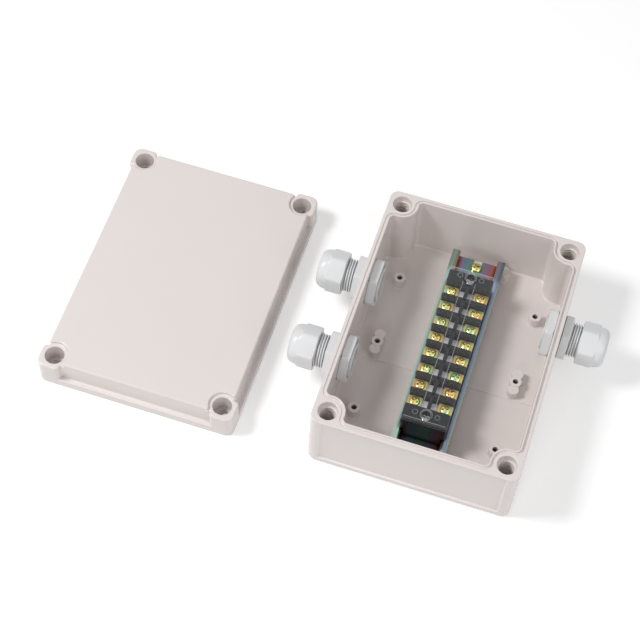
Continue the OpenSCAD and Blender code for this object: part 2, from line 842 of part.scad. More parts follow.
module gland_locknut(i) color(nylon) at_gland(i)
  translate([0, 0, -wall_t - locknut_t])
    difference() {
      rotate([0, 0, 30]) hex_bar(locknut_af, locknut_t, locknut_chamfer);
      translate([0, 0, -over]) cylinder(h = locknut_t + 2 * over, d = entry_d + 2 * entry_fit);
    }

module gland_nut(i) color(nylon) at_gland(i)
  translate([0, 0, nut_start]) {
    difference() {
      union() {
        hex_bar(nut_af, nut_hex_l, nut_chamfer);
        rotate_extrude()
          polygon(concat(
            [[0, nut_hex_l / 2], [nut_af / 2 - root, nut_hex_l / 2]],
            [[nut_af / 2 - root, nut_hex_l - nut_chamfer], [nose_base_r, nut_hex_l - nut_chamfer]],
            arc([nose_base_r - nose_r, nut_l - nose_r], nose_r, 0, 90, 8),
            [[0, nut_l]]
          ));
      }
      translate([0, 0, -over]) cylinder(h = neck_in + nut_runout + over, d = neck_d + 2 * nut_fit);
      translate([0, 0, neck_in])
        cylinder(h = nut_l - neck_in - nose_t, d = bush_d + 2 * bush_room);
      cylinder(h = nut_l + over, d = nose_d);
    }
  }

module gland_bush(i) color(rubber) at_gland(i)
  translate([0, 0, bush_start])
    difference() {
      cylinder(h = bush_l, d = bush_d);
      translate([0, 0, -over]) cylinder(h = bush_l + 2 * over, d = bush_hole_d);
    }

base();
lid();
lid_seal();
mounting_rail();
rail_screws();
terminal_body();
contact_straps();
wire_clamps();
terminal_screws();
terminal_mount_screws();
terminal_cover();
gland_body(0);  // gland_1_body
gland_washer(0);  // gland_1_washer
gland_locknut(0);  // gland_1_locknut
gland_nut(0);  // gland_1_nut
gland_bush(0);  // gland_1_bush
gland_body(1);  // gland_2_body
gland_washer(1);  // gland_2_washer
gland_locknut(1);  // gland_2_locknut
gland_nut(1);  // gland_2_nut
gland_bush(1);  // gland_2_bush
gland_body(2);  // gland_3_body
gland_washer(2);  // gland_3_washer
gland_locknut(2);  // gland_3_locknut
gland_nut(2);  // gland_3_nut
gland_bush(2);  // gland_3_bush
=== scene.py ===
# %% [markdown]
# An open plastic junction box: a lipped base with three cable glands, a mounting rail with a
# terminal block under a clear cover, and the lid lying face up beside it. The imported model
# gives every piece its place and its size. This lesson gives the pieces the soft moulded
# edges, threads and finishes that the eye expects.

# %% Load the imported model
import json
import math

import bpy
import numpy as np
from mathutils import Matrix, Vector
from mathutils.geometry import delaunay_2d_cdt

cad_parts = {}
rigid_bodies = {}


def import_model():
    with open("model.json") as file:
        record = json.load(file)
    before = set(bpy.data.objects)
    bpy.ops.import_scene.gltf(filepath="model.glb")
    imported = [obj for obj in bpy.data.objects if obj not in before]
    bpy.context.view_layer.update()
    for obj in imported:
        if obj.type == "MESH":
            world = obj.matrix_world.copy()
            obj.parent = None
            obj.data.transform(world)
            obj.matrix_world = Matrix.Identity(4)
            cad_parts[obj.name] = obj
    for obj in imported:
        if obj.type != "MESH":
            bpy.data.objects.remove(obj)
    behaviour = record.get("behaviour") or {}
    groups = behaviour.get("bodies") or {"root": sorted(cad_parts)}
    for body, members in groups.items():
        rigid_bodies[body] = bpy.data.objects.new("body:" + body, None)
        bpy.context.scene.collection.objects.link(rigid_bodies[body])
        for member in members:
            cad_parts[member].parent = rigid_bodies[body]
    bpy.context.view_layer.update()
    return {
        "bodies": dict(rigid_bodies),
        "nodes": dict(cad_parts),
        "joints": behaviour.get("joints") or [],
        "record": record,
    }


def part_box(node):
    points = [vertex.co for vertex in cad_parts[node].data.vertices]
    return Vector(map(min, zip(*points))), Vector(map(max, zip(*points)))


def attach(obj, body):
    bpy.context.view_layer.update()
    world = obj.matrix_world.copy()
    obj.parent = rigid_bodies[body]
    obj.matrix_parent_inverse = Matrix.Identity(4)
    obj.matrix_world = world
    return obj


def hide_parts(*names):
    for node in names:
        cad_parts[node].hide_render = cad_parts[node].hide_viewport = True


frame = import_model()
nodes = frame["nodes"]
MM = 0.001

# %% [markdown]
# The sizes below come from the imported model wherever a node's box gives them, so the looks
# stay seated on the construction. Only sizes that no box shows, such as the width of a lip,
# are written as plain millimetres.

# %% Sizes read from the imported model
def span(node):
    """The lowest and highest corner of a node in millimetres, as two arrays."""
    low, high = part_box(node)
    return np.array(low) / MM, np.array(high) / MM


base_low, base_high = span("base")
lid_low, lid_high = span("lid")
HALF_W, HALF_L = base_high[0], base_high[1]
LIP_W, LIP_H, GROOVE_W = 1.2, 0.9, 1.2
RIM_Z = base_high[2] - LIP_H
RIM_W = 4.6
FLOOR_Z = 3.5
SCREW_INSET = 9.2
POST_R, POST_FILLET = 10.5, 3.0
HOLE_X, HOLE_Y = HALF_W - SCREW_INSET, HALF_L - SCREW_INSET
IN_X, IN_Y = HALF_W - RIM_W, HALF_L - RIM_W
CORNER_R, FOOT_R = 5.5, 2.0
LID_AT = (lid_low + lid_high) / 2
GLAND_Y, GLAND_Z = 29.0, 30.0
print("base", np.round(base_high - base_low, 1), "lid", np.round(lid_high - lid_low, 1))

# %% [markdown]
# The photograph's camera stood in front, a little to the right, and looked down steeply with
# a long lens, rolled a few degrees. Its place and focal length were solved from corners and
# holes whose real places are known, for a square picture of 640 pixels.

# %% Camera
FOCAL_PX, PICTURE_PX, SENSOR_MM = 1716.65, 640, 36.0
CAMERA_AT = Vector((53.27, -539.36, 946.97)) * MM
TURN, DOWN, ROLL = (math.radians(a) for a in (-14.228, 59.157, 4.158))


def camera_axes(turn, down, roll):
    """Right, up and forward of a camera that looks along +Y, turned, tipped down and rolled."""
    forward = Vector((math.sin(turn) * math.cos(down), math.cos(turn) * math.cos(down),
                      -math.sin(down)))
    right = forward.cross(Vector((0, 0, 1))).normalized()
    up = right.cross(forward)
    c, s = math.cos(roll), math.sin(roll)
    return c * right + s * up, c * up - s * right, forward


right, up, forward = camera_axes(TURN, DOWN, ROLL)
camera_data = bpy.data.cameras.new("camera")
camera_data.sensor_width = SENSOR_MM
camera_data.lens = FOCAL_PX / PICTURE_PX * SENSOR_MM
camera_data.clip_end = 20
camera = bpy.data.objects.new("camera", camera_data)
bpy.context.scene.collection.objects.link(camera)
axes = Matrix((right, up, -forward)).transposed().to_4x4()
camera.matrix_world = Matrix.Translation(CAMERA_AT) @ axes
bpy.context.scene.camera = camera
print("lens mm:", round(camera_data.lens, 2))

# %% [markdown]
# Colours are written as the sRGB hex values that a paint chart gives, and one function turns
# them to the linear values that the renderer counts in. One more adds a shader node with its
# settings and its links, and each material is then a short list of such calls.

# %% Colour and shader helpers
def linear(hex_colour, alpha=1.0):
    """An sRGB hex colour as linear RGBA: each channel c becomes ((c + 0.055) / 1.055) ** 2.4."""
    values = [int(hex_colour[i:i + 2], 16) / 255 for i in (1, 3, 5)]
    return [v / 12.92 if v <= 0.04045 else ((v + 0.055) / 1.055) ** 2.4 for v in values] + [alpha]


def add(tree, kind, settings=(), links=()):
    """Adds a shader node, sets properties or inputs by name, and links (input, node, output)."""
    node = tree.nodes.new(kind)
    for key, value in dict(settings).items():
        if isinstance(key, str) and hasattr(node, key):
            setattr(node, key, value)
        else:
            node.inputs[key].default_value = value
    for key, source, output in links:
        tree.links.new(source.outputs[output], node.inputs[key])
    return node


def noise(tree, place, output, wave_mm, detail=2.0):
    """Noise whose waves are about as long as given, read at an output of the place node."""
    return add(tree, "ShaderNodeTexNoise", {"Scale": 1 / (wave_mm * MM), "Detail": detail},
               [("Vector", place, output)])


def finish(name, colour, roughness, **settings):
    """A new material with one Principled shader. Returns the material, its tree and the shader."""
    material = bpy.data.materials.new(name)
    material.use_nodes = True
    tree = material.node_tree
    shader = tree.nodes["Principled BSDF"]
    shader.inputs["Base Color"].default_value = linear(colour)
    shader.inputs["Roughness"].default_value = roughness
    for key, value in settings.items():
        shader.inputs[key.replace("_", " ")].default_value = value
    return material, tree, shader

# %% [markdown]
# The housing is injection-moulded ABS in a warm light grey. A spark-eroded mould leaves a
# fine grain of about 0.3 mm, which spreads the highlights and shows only as satin. The grain
# is drawn at 0.5 mm so that it reads, and a faint cloudiness keeps large faces from looking
# painted. Shade is painted into every moulded plastic's colour: where surfaces within 6 mm
# hide more than an open corner hides, as in deep screw holes, creases and inner corners, the
# colour is made darker.

# %% Moulded ABS
PAINTED_HOLE_SHADE = {"reach_mm": 6.0, "open_corner": 0.36, "darkest": 0.15}
CLOUD_MM = 35


def painted_occlusion_shade(tree, shade, output, reach_mm, open_corner, darkest, closed=0.0):
    """A colour with painted shade: darker where surfaces within reach hide more than an open corner
    hides.
    """
    cover = add(tree, "ShaderNodeAmbientOcclusion", {"samples": 8, "Distance": reach_mm * MM})
    depth = add(tree, "ShaderNodeMapRange",
                {"From Min": closed, "From Max": open_corner, "To Min": darkest},
                [("Value", cover, "AO")])
    return add(tree, "ShaderNodeVectorMath", {"operation": "SCALE"},
               [(0, shade, output), ("Scale", depth, "Result")])


def moulded(name, light, dark, roughness, grain_mm, grain_height):
    """A moulded plastic: slow cloudiness between two shades, painted shade in holes, and grain as
    bump.
    """
    material, tree, shader = finish(name, light, roughness)
    place = add(tree, "ShaderNodeTexCoord")
    cloud = noise(tree, place, "Object", CLOUD_MM)
    shade = add(tree, "ShaderNodeMix", {"data_type": "RGBA", 6: linear(light), 7: linear(dark)},
                [("Factor", cloud, "Fac")])
    # Painted shade: the colour darkens in holes, creases and inner corners.
    painted_darkening = painted_occlusion_shade(tree, shade, 2, **PAINTED_HOLE_SHADE)
    tree.links.new(painted_darkening.outputs[0], shader.inputs["Base Color"])
    grain = noise(tree, place, "Object", grain_mm, 3.0)
    bump = add(tree, "ShaderNodeBump", {"Strength": 0.25, "Distance": grain_height * MM},
               [("Height", grain, "Fac")])
    tree.links.new(bump.outputs["Normal"], shader.inputs["Normal"])
    return material


housing_abs = moulded("moulded_abs_warm_grey", "#E5DDDA", "#E1D9D6", 0.24, 0.5, 0.008)
gland_nylon = moulded("moulded_nylon_light_grey", "#E3E4E5", "#DFE0E1", 0.28, 0.6, 0.012)
bakelite = moulded("glossy_black_phenolic", "#17171A", "#101013", 0.30, 0.8, 0.002)
bakelite.node_tree.nodes["Principled BSDF"].inputs["Specular IOR Level"].default_value = 0.3
seal_rubber = moulded("matt_black_rubber", "#232325", "#1B1B1D", 0.75, 0.4, 0.03)
grey_rubber = moulded("light_grey_rubber", "#CFD0D2", "#C8C9CB", 0.7, 0.4, 0.02)
print("plastics made")

# %% [markdown]
# Zinc-plated steel with a yellow chromate film shines in green, gold and pink, because the
# film is about as thin as a wavelength of light. On the rail the film changes across the
# sheet, so the bands run along it: a colour ramp is read at the place across the rail, and
# slow noise, stretched along the rail, lets the bands wander. The screws were plated in a
# barrel, so each has a tint of its own, which comes from noise about as wide as a screw.
# Bright metal mirrors what stands beside it. Here the colour is darkened where close
# surfaces hide more than an open corner: painted shade in the screws' crosses and round
# their heads, and a painted reflection of the black block on the rail next to it.

# %% Chromated zinc
RAIL_W_MM, RAIL_WAVE_MM, RAIL_STRETCH, RAIL_WANDER, SCREW_WAVE_MM = 35, 12, 0.15, 0.10, 9
# Painted darkening: a painted reflection of the black block on the rail, painted shade elsewhere.
PAINTED_BLOCK_REFLECTION = {"reach_mm": 4.0, "open_corner": 0.85, "darkest": 0.06, "closed": 0.5}
PAINTED_CROSS_SHADE = {"reach_mm": 1.6, "open_corner": 0.6, "darkest": 0.12}
RAIL_FILM = [
    (0.00, "#C2A684"), (0.02, "#93C2A4"), (0.045, "#A9A6C4"), (0.07, "#A6CCAA"),
    (0.10, "#82B0A0"), (0.125, "#B98C6E"), (0.15, "#C48876"), (0.19, "#A98AA6"),
    (0.25, "#8E9FBE"), (0.32, "#84ABB2"), (0.42, "#86B3A2"), (0.55, "#90B596"),
    (0.62, "#8AA5AE"), (0.70, "#AA88A8"), (0.77, "#C07F8C"), (0.82, "#CC8B66"),
    (0.865, "#D3A87E"), (0.885, "#8C93B8"), (0.905, "#9CA6C6"), (0.925, "#8499A0"),
    (0.942, "#8A86A4"), (0.957, "#7C7E94"), (0.970, "#729088"), (0.985, "#84987C"),
    (1.00, "#80866E"),
]
SCREW_FILM = [(0.26, "#9FDCC8"), (0.38, "#C4E0A0"), (0.48, "#E8E08C"), (0.58, "#E9CF7C"),
              (0.68, "#E6B574"), (0.78, "#CFE09A")]
# The clamps' film is the screws' film made darker: painted shade on the clamp plates.
CLAMP_FILM_PAINTED_DARKER = [(0.26, "#8EBFA6"), (0.38, "#AFC080"), (0.48, "#CFC070"), (0.58, "#C9AE62"),
              (0.68, "#C09A5C"), (0.78, "#B2C07E")]


def across_rail(tree, place):
    """The place across the rail, from 0 to 1, plus noise that is stretched along the rail."""
    along = add(tree, "ShaderNodeMapping", {"Scale": (1.0, RAIL_STRETCH, 1.0)},
                [("Vector", place, "Object")])
    wander = noise(tree, along, "Vector", RAIL_WAVE_MM)
    parts = add(tree, "ShaderNodeSeparateXYZ", links=[("Vector", place, "Object")])
    shift = add(tree, "ShaderNodeMath",
                {"operation": "MULTIPLY_ADD", 1: RAIL_WANDER, 2: 0.5 - RAIL_WANDER / 2},
                [(0, wander, "Fac")])
    return add(tree, "ShaderNodeMath", {"operation": "MULTIPLY_ADD", 1: 1 / (RAIL_W_MM * MM)},
               [(0, parts, "X"), (2, shift, "Value")])


def chromated(name, colour, roughness, metallic, film, cover, banded=False):
    """Zinc under a thin film: a colour ramp read across the rail, or at noise on small parts, and
    painted darkening near close surfaces.
    """
    material, tree, shader = finish(name, colour, roughness, Metallic=metallic)
    place = add(tree, "ShaderNodeTexCoord")
    value = (across_rail(tree, place) if banded
             else noise(tree, place, "Object", SCREW_WAVE_MM))
    ramp = add(tree, "ShaderNodeValToRGB", links=[("Fac", value, "Value" if banded else "Fac")])
    stops = ramp.color_ramp.elements
    while len(stops) < len(film):
        stops.new(0.5)
    for stop, (position, tint) in zip(stops, film):
        stop.position = position
        stop.color = linear(tint)
    # Painted shade and painted reflection: the film darkens near close surfaces.
    painted_darkening = painted_occlusion_shade(tree, ramp, "Color", **cover)
    tree.links.new(painted_darkening.outputs[0], shader.inputs["Base Color"])
    return material


rail_zinc = chromated("rainbow_chromated_zinc", "#8FB090", 0.15, 1.0, RAIL_FILM, PAINTED_BLOCK_REFLECTION,
                      banded=True)
screw_zinc = chromated("yellow_chromated_zinc", "#D9C267", 0.2, 0.85, SCREW_FILM, PAINTED_CROSS_SHADE)
# The clamps carry the darker film, a painted shade against the brighter screws.
clamp_zinc = chromated("yellow_chromated_zinc_with_painted_clamp_shade", "#C9AE62", 0.3, 0.6, CLAMP_FILM_PAINTED_DARKER,
                       PAINTED_CROSS_SHADE)
print("chromate stops on the rail:", len(RAIL_FILM))

# %% [markdown]
# The straps are copper under a dull coat of tin, which is soft and greys as it ages. The
# mounting screws are nickel-plated and sharper in their reflections, and their colour is
# painted darker than the plating, as the shade of their deep seats.

# %% Tin and nickel
tinned = finish("tin_plated_copper", "#D8D2D6", 0.42, Metallic=0.5)[0]
# Painted shade: the nickel's colour is darker than the plating itself.
nickel = finish("nickel_plated_steel_painted_dark", "#8F8E8C", 0.16, Metallic=1.0)[0]
print("metals made")

# %% [markdown]
# The cover is clear polycarbonate, 1.6 mm thick. Real glass shaders would darken and speckle
# what lies under it, so it is made by coverage instead: nearly nothing where the eye looks
# straight through, and more towards the edges, where a real sheet reflects. That pale white
# coverage is partly the shader's real gloss and partly a painted reflection.

# %% Clear polycarbonate
def see_through(name, straight, grazing, roughness):
    """A clear plastic: how much it covers where the eye looks straight at it, and at its edges."""
    material, tree, shader = finish(name, "#F4F8FC", roughness)
    # Coverage grows towards the edges: a painted reflection on top of the real gloss.
    facing = add(tree, "ShaderNodeLayerWeight", {"Blend": 0.35})
    cover = add(tree, "ShaderNodeMapRange", {"To Min": straight, "To Max": grazing},
                [("Value", facing, "Facing")])
    tree.links.new(cover.outputs["Result"], shader.inputs["Alpha"])
    return material


clear = see_through("clear_polycarbonate", 0.004, 0.2, 0.08)
# A second, more covering white finish for ribs, rings and edges: painted glints.
clear_with_painted_glints = see_through("clear_polycarbonate_painted_glints", 0.12, 0.8, 0.08)
print("clear finishes made")

# %% [markdown]
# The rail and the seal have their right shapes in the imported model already, so they keep
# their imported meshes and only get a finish. Every other node is replaced further down.

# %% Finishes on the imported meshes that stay
for name, material in {"mounting_rail": rail_zinc, "lid_seal": seal_rubber}.items():
    nodes[name].data.materials.clear()
    nodes[name].data.materials.append(material)
    print(f"{name}: {material.name}")

# %% [markdown]
# Every moulded or turned piece below is a set of surfaces. A surface holds its points, the
# direction in which its outside looks at each point, and its triangles. Exact directions keep
# a flat face flat to the eye right up to a rounded edge, which a plain average would not.

# %% Grids, caps and placing
def halves(quads):
    """Two triangles for each face of four corners."""
    return np.vstack([quads[:, :3], quads[:, [0, 2, 3]]])


def grid(points, normals, close_rows=False, close_columns=True):
    """Triangles between rows of points: columns run round an outline, rows follow a profile."""
    index = np.arange(points.shape[0] * points.shape[1]).reshape(points.shape[:2])
    if close_columns:
        index = np.hstack([index, index[:, :1]])
    if close_rows:
        index = np.vstack([index, index[:1]])
    corners = index[:-1, :-1], index[1:, :-1], index[1:, 1:], index[:-1, 1:]
    faces = halves(np.stack(corners, axis=-1).reshape(-1, 4))
    return points.reshape(-1, 3), normals.reshape(-1, 3), faces


def across(place, faces):
    """The direction that each triangle faces, as long as twice its area."""
    a, b, c = (place[faces[:, corner]] for corner in range(3))
    return np.cross(b - a, c - a)


def soft_grid(points, outward=1.0, close_rows=False):
    """A grid whose outside directions are the averages of its faces, weighted by area."""
    place, _, faces = grid(points, np.zeros_like(points), close_rows)
    own, total = across(place, faces), np.zeros_like(place)
    for corner in range(3):
        np.add.at(total, faces[:, corner], own)
    length = np.maximum(np.linalg.norm(total, axis=1, keepdims=True), 1e-12)
    return place, outward * total / length, faces


def inside(points, loop):
    """Whether each point lies in a loop: a ray from it crosses the loop an odd number of times."""
    x, y = points[:, :1], points[:, 1:]
    (x0, y0), (x1, y1) = loop.T, np.roll(loop, -1, axis=0).T
    crosses = (y0 > y) != (y1 > y)
    reach = x0 + (y - y0) * (x1 - x0) / np.where(y1 == y0, 1.0, y1 - y0)
    return (crosses & (x < reach)).sum(axis=1) % 2 == 1


def loop_edges(starts):
    """The edges of closed loops that follow one another in a list of points."""
    loops = [np.arange(a, b) for a, b in zip(starts, starts[1:])]
    return np.vstack([np.column_stack([i, np.roll(i, -1)]) for i in loops]).tolist()


def triangles(points, edges):
    """Flat triangles between points, which keep the given edges."""
    found = delaunay_2d_cdt([Vector(p) for p in points.tolist()], edges, [], 1, 1e-7)
    flat = points if len(found[0]) == len(points) else np.array([v[:] for v in found[0]])
    return flat, np.array(found[2])


def cap(loops, height, facing=1.0):
    """A flat face at one height: the first loop bounds it, and the others are holes in it."""
    starts = np.cumsum([0] + [len(loop) for loop in loops])
    flat, faces = triangles(np.vstack(loops), loop_edges(starts))
    middle = flat[faces].mean(axis=1)
    keep = inside(middle, loops[0])
    for hole in loops[1:]:
        keep &= ~inside(middle, hole)
    place = np.column_stack([flat, np.full(len(flat), float(height))])
    return place, np.tile([0.0, 0.0, facing], (len(flat), 1)), faces[keep]


def placed(part, origin=(0, 0, 0), axes=((1, 0, 0), (0, 1, 0), (0, 0, 1))):
    """Moves a surface. The rows of axes say where its own X, Y and Z point."""
    place, normals, faces = part
    axes = np.array(axes, float)
    return place @ axes + np.array(origin, float), normals @ axes, faces


def without_big_faces(part, tall, wide):
    """Leaves out the triangles that are both taller and wider than given: walls with openings."""
    place, normals, faces = part
    reach = np.ptp(place[faces], axis=1)
    plan = reach[:, :2]
    big = (reach[:, 2] > tall) & (plan.max(axis=1) > wide) & (plan.min(axis=1) < 0.01)
    return place, normals, faces[~big]


def piece(name, parts, material, body, replaces=()):
    """One object of surfaces: equal points with equal directions are joined, faces look out."""
    starts = np.cumsum([0] + [len(place) for place, _, _ in parts])
    points = np.vstack([place for place, _, _ in parts])
    normals = np.vstack([lean for _, lean, _ in parts])
    faces = np.vstack([own + start for (_, _, own), start in zip(parts, starts)])
    key = np.round(np.hstack([points / 0.002, normals * 50])).astype(np.int64)
    _, first, back = np.unique(key, axis=0, return_index=True, return_inverse=True)
    points, normals, faces = points[first], normals[first], back.reshape(-1)[faces]
    own = across(points, faces)
    real = np.linalg.norm(own, axis=1) > 1e-7
    faces, own = faces[real], own[real]
    wrong = (own * normals[faces].sum(axis=1)).sum(axis=1) < 0
    faces[wrong] = faces[wrong][:, ::-1]
    mesh = bpy.data.meshes.new(name)
    mesh.vertices.add(len(points))
    mesh.vertices.foreach_set("co", (points * MM).ravel())
    mesh.loops.add(faces.size)
    mesh.loops.foreach_set("vertex_index", faces.ravel())
    mesh.polygons.add(len(faces))
    mesh.polygons.foreach_set("loop_start", np.arange(0, faces.size, 3))
    mesh.polygons.foreach_set("loop_total", np.full(len(faces), 3))
    mesh.polygons.foreach_set("use_smooth", np.ones(len(faces), bool))
    mesh.update(calc_edges=True)
    mesh.validate()
    mesh.normals_split_custom_set_from_vertices(normals.tolist())
    mesh.materials.append(material)
    made = bpy.data.objects.new(name, mesh)
    bpy.context.scene.collection.objects.link(made)
    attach(made, body)
    if replaces:
        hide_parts(*replaces)
    print(f"{name}: {len(points)} points, {len(faces)} triangles")

# %% [markdown]
# An outline holds its points and the direction in which it grows, so a larger or smaller
# outline is point + offset * direction. A profile is a path of offsets and heights with
# rounded corners. Carrying a profile round an outline is how the mould's cutter works too:
# the cutter's form is the profile, and its path is the outline.

# %% Outlines and profiles
def rounded(corners, radii, side=1, steps=4):
    """A path with rounded corners, and the direction to its left (side 1) or right (side -1)."""
    corners = np.array(corners, float)
    runs = np.diff(corners, axis=0)
    runs /= np.linalg.norm(runs, axis=1, keepdims=True)
    places, ways = [corners[:1]], [runs[:1]]
    for corner, before, after, radius in zip(corners[1:-1], runs, runs[1:], radii):
        start = math.atan2(before[1], before[0])
        turn = (math.atan2(after[1], after[0]) - start + math.pi) % (2 * math.pi) - math.pi
        sense = math.copysign(1.0, turn)
        begin = corner - before * radius * math.tan(abs(turn) / 2)
        centre = begin + radius * sense * np.array([-before[1], before[0]])
        angle = start + np.linspace(0, turn, steps + 1)
        way = np.stack([np.cos(angle), np.sin(angle)], axis=1)
        places.append(centre - radius * sense * np.stack([-way[:, 1], way[:, 0]], axis=1))
        ways.append(way)
    places.append(corners[-1:])
    ways.append(runs[-1:])
    way = np.vstack(ways)
    return np.vstack(places), side * np.stack([-way[:, 1], way[:, 0]], axis=1)


def ring(centre=(0, 0), steps=48):
    """An outline that has shrunk to one point, so that its offset is a radius."""
    angle = np.linspace(0, 2 * math.pi, steps, endpoint=False)
    ray = np.stack([np.cos(angle), np.sin(angle)], axis=1)
    return np.tile(np.array(centre, float), (steps, 1)), ray


def arc(centre, radius, start, stop, steps, sense=1.0):
    """An arc in degrees. Sense is -1 where the outline grows towards the arc's centre."""
    angle = np.radians(np.linspace(start, stop, steps + 1))
    ray = np.stack([np.cos(angle), np.sin(angle)], axis=1)
    return np.array(centre) + radius * ray, sense * ray


def joined(arcs):
    """Arcs set one after the other, with the points that two of them share kept once."""
    place, lean = np.vstack([a[0] for a in arcs]), np.vstack([a[1] for a in arcs])
    fresh = np.linalg.norm(place - np.roll(place, 1, axis=0), axis=1) > 1e-6
    return place[fresh], lean[fresh]


def box_outline(half_x, half_y, radius, centre=(0, 0), steps=8):
    """A rectangle with rounded corners."""
    run_x, run_y = half_x - radius, half_y - radius
    return joined([
        arc((centre[0] + sx * run_x, centre[1] + sy * run_y), radius, a, a + 90, steps)
        for sx, sy, a in ((1, 1, 0), (-1, 1, 90), (-1, -1, 180), (1, -1, 270))
    ])


def swung_corner(x, y, radius, fillet):
    """The corner of an outline that swings round a screw hole: out, round the hole, and out."""
    hole = np.array([HOLE_X, HOLE_Y])
    a, b = x - HOLE_X - fillet, y - HOLE_Y - fillet
    low = np.array([a, -math.sqrt((radius + fillet) ** 2 - a ** 2)])
    high = np.array([-math.sqrt((radius + fillet) ** 2 - b ** 2), b])
    to_low = math.degrees(math.atan2(low[1], low[0]))
    to_high = math.degrees(math.atan2(high[1], high[0]))
    return joined([
        arc(hole + low, fillet, 0, to_low + 180, 8),
        arc(hole, radius, to_low, to_high - 360, 20, -1.0),
        arc(hole + high, fillet, to_high - 180, 90, 8),
    ])


def swung_outline(x, y, radius, fillet):
    """An outline with four such corners, which are mirror images of one another."""
    place, lean = swung_corner(x, y, radius, fillet)
    turns = ((1, 1, 1), (-1, 1, -1), (-1, -1, 1), (1, -1, -1))
    return joined([(place[::step] * (sx, sy), lean[::step] * (sx, sy)) for sx, sy, step in turns])


def loop_at(outline, offset):
    """The points of an outline that has grown by an offset."""
    return outline[0] + offset * outline[1]


def sweep(outline, profile, close_columns=True):
    """Carries a profile round an outline: point = outline + offset * direction, at its height."""
    (place, lean), (path, tilt) = outline, profile
    flat = place[None] + path[:, :1, None] * lean[None]
    rows = flat.shape[:2]
    points = np.dstack([flat, np.broadcast_to(path[:, 1:], rows)])
    normals = np.dstack([tilt[:, :1, None] * lean[None], np.broadcast_to(tilt[:, 1:], rows)])
    return grid(points, normals, close_columns=close_columns)


def lathe(centre, corners, radii, side=-1, steps=48):
    """A turned form about an upright axis: its corners are radius and height."""
    return sweep(ring(centre, steps), rounded(corners, radii, side))


def block(low, high, plan_r, edge_r, steps=6):
    """A closed block with rounded upright corners and rounded top and bottom edges."""
    low, high = np.array(low, float), np.array(high, float)
    half, middle = (high - low) / 2, (high + low) / 2
    outline = box_outline(half[0], half[1], plan_r, middle[:2], steps)
    profile = rounded([(-edge_r, high[2]), (0, high[2]), (0, low[2]), (-edge_r, low[2])],
                      [edge_r, edge_r])
    face = loop_at(outline, -edge_r)
    return [sweep(outline, profile), cap([face], high[2]), cap([face], low[2], -1.0)]


print("helpers ready")

# %% [markdown]
# The base is one moulding. From outside to inside, one profile runs over the rim: a land for
# the lid, a groove, the lip that presses into the lid's seal, and the inner wall, with the
# hollow edge that lets the mould's core go. It is carried round the opening, which swings
# round the four screw posts.

# %% Base: rim, walls and floor
OPENING = swung_outline(IN_X, IN_Y, POST_R, POST_FILLET)
OUTSIDE = box_outline(HALF_W, HALF_L, CORNER_R)
GROOVE_AT = LIP_W + GROOVE_W
LAND_EDGE, FLOOR_EDGE, GROOVE_SEEN = 0.6, 1.0, 0.6
LAND_AT = GROOVE_AT + 0.45
rim_path = rounded(
    [(LAND_AT, RIM_Z), (GROOVE_AT, RIM_Z), (GROOVE_AT, RIM_Z - GROOVE_SEEN),
     (LIP_W, RIM_Z - GROOVE_SEEN), (LIP_W, RIM_Z + LIP_H), (0, RIM_Z + LIP_H), (0, FLOOR_Z),
     (-FLOOR_EDGE, FLOOR_Z)], [0.4, 0.3, 0.3, 0.45, 0.5, FLOOR_EDGE])
outer_path = rounded([(-LAND_EDGE, RIM_Z), (0, RIM_Z), (0, 0), (-FOOT_R, 0)],
                     [LAND_EDGE, FOOT_R], steps=6)
holes = [(sx * HOLE_X, sy * HOLE_Y) for sx in (1, -1) for sy in (1, -1)]
MOUTH_R, MOUTH_EDGE, WALL_HOLE_R, WALL_HOLE_EDGE = 6.0, 0.5, 2.3, 0.4


def holes_of(radius):
    """A round loop about each screw hole."""
    return [loop_at(ring(hole), radius) for hole in holes]


base_parts = [
    without_big_faces(sweep(OPENING, rim_path), tall=30, wide=120),
    without_big_faces(sweep(OUTSIDE, outer_path), tall=30, wide=80),
    cap([loop_at(OUTSIDE, -LAND_EDGE), loop_at(OPENING, LAND_AT)]
        + holes_of(MOUTH_R + MOUTH_EDGE), RIM_Z),
    cap([loop_at(OPENING, -FLOOR_EDGE)], FLOOR_Z),
    cap([loop_at(OUTSIDE, -FOOT_R)] + holes_of(WALL_HOLE_R + WALL_HOLE_EDGE), 0, -1.0),
]
print("points round the opening:", len(OPENING[0]), "and over the rim:", len(rim_path[0]))

# %% [markdown]
# Each outer side carries a shallow panel with sloping borders, so that the wall stays evenly
# thick and the mould opens easily. The long sides are drilled for the cable glands, two on
# the left and one on the right. A side is drawn flat, with its own X along the side, its Y up
# and its Z outwards, and is then set upright.

# %% Base: side panels and gland holes
PANEL_D, PANEL_SIDE, PANEL_FOOT, PANEL_HEAD, PANEL_R = 1.0, 6.5, 4.5, 1.6, 2.2
PANEL_OUT, PANEL_IN = 0.5, PANEL_D + 0.6
GLAND_R = 11.35
panel_path = rounded([(PANEL_OUT, 0), (0, 0), (-PANEL_D, -PANEL_D), (-PANEL_IN, -PANEL_D)],
                     [0.4, 0.4], side=-1)


def gland_loops(places):
    """The round holes for the glands at the given places along a side."""
    return [loop_at(ring((y, GLAND_Z), 64), GLAND_R) for y in places]


def box_side(half_run, corner_x, glands):
    """One outer side, drawn flat: its frame, the panel's slopes, its face and its gland holes."""
    frame = np.array([(-corner_x, FOOT_R), (corner_x, FOOT_R), (corner_x, RIM_Z - LAND_EDGE),
                      (-corner_x, RIM_Z - LAND_EDGE)])
    middle = (PANEL_FOOT + RIM_Z - PANEL_HEAD) / 2
    border = box_outline(half_run, RIM_Z - PANEL_HEAD - middle, PANEL_R, (0, middle), 6)
    return [cap([frame, loop_at(border, PANEL_OUT)], 0), sweep(border, panel_path),
            cap([loop_at(border, -PANEL_IN)] + gland_loops(glands), -PANEL_D)]


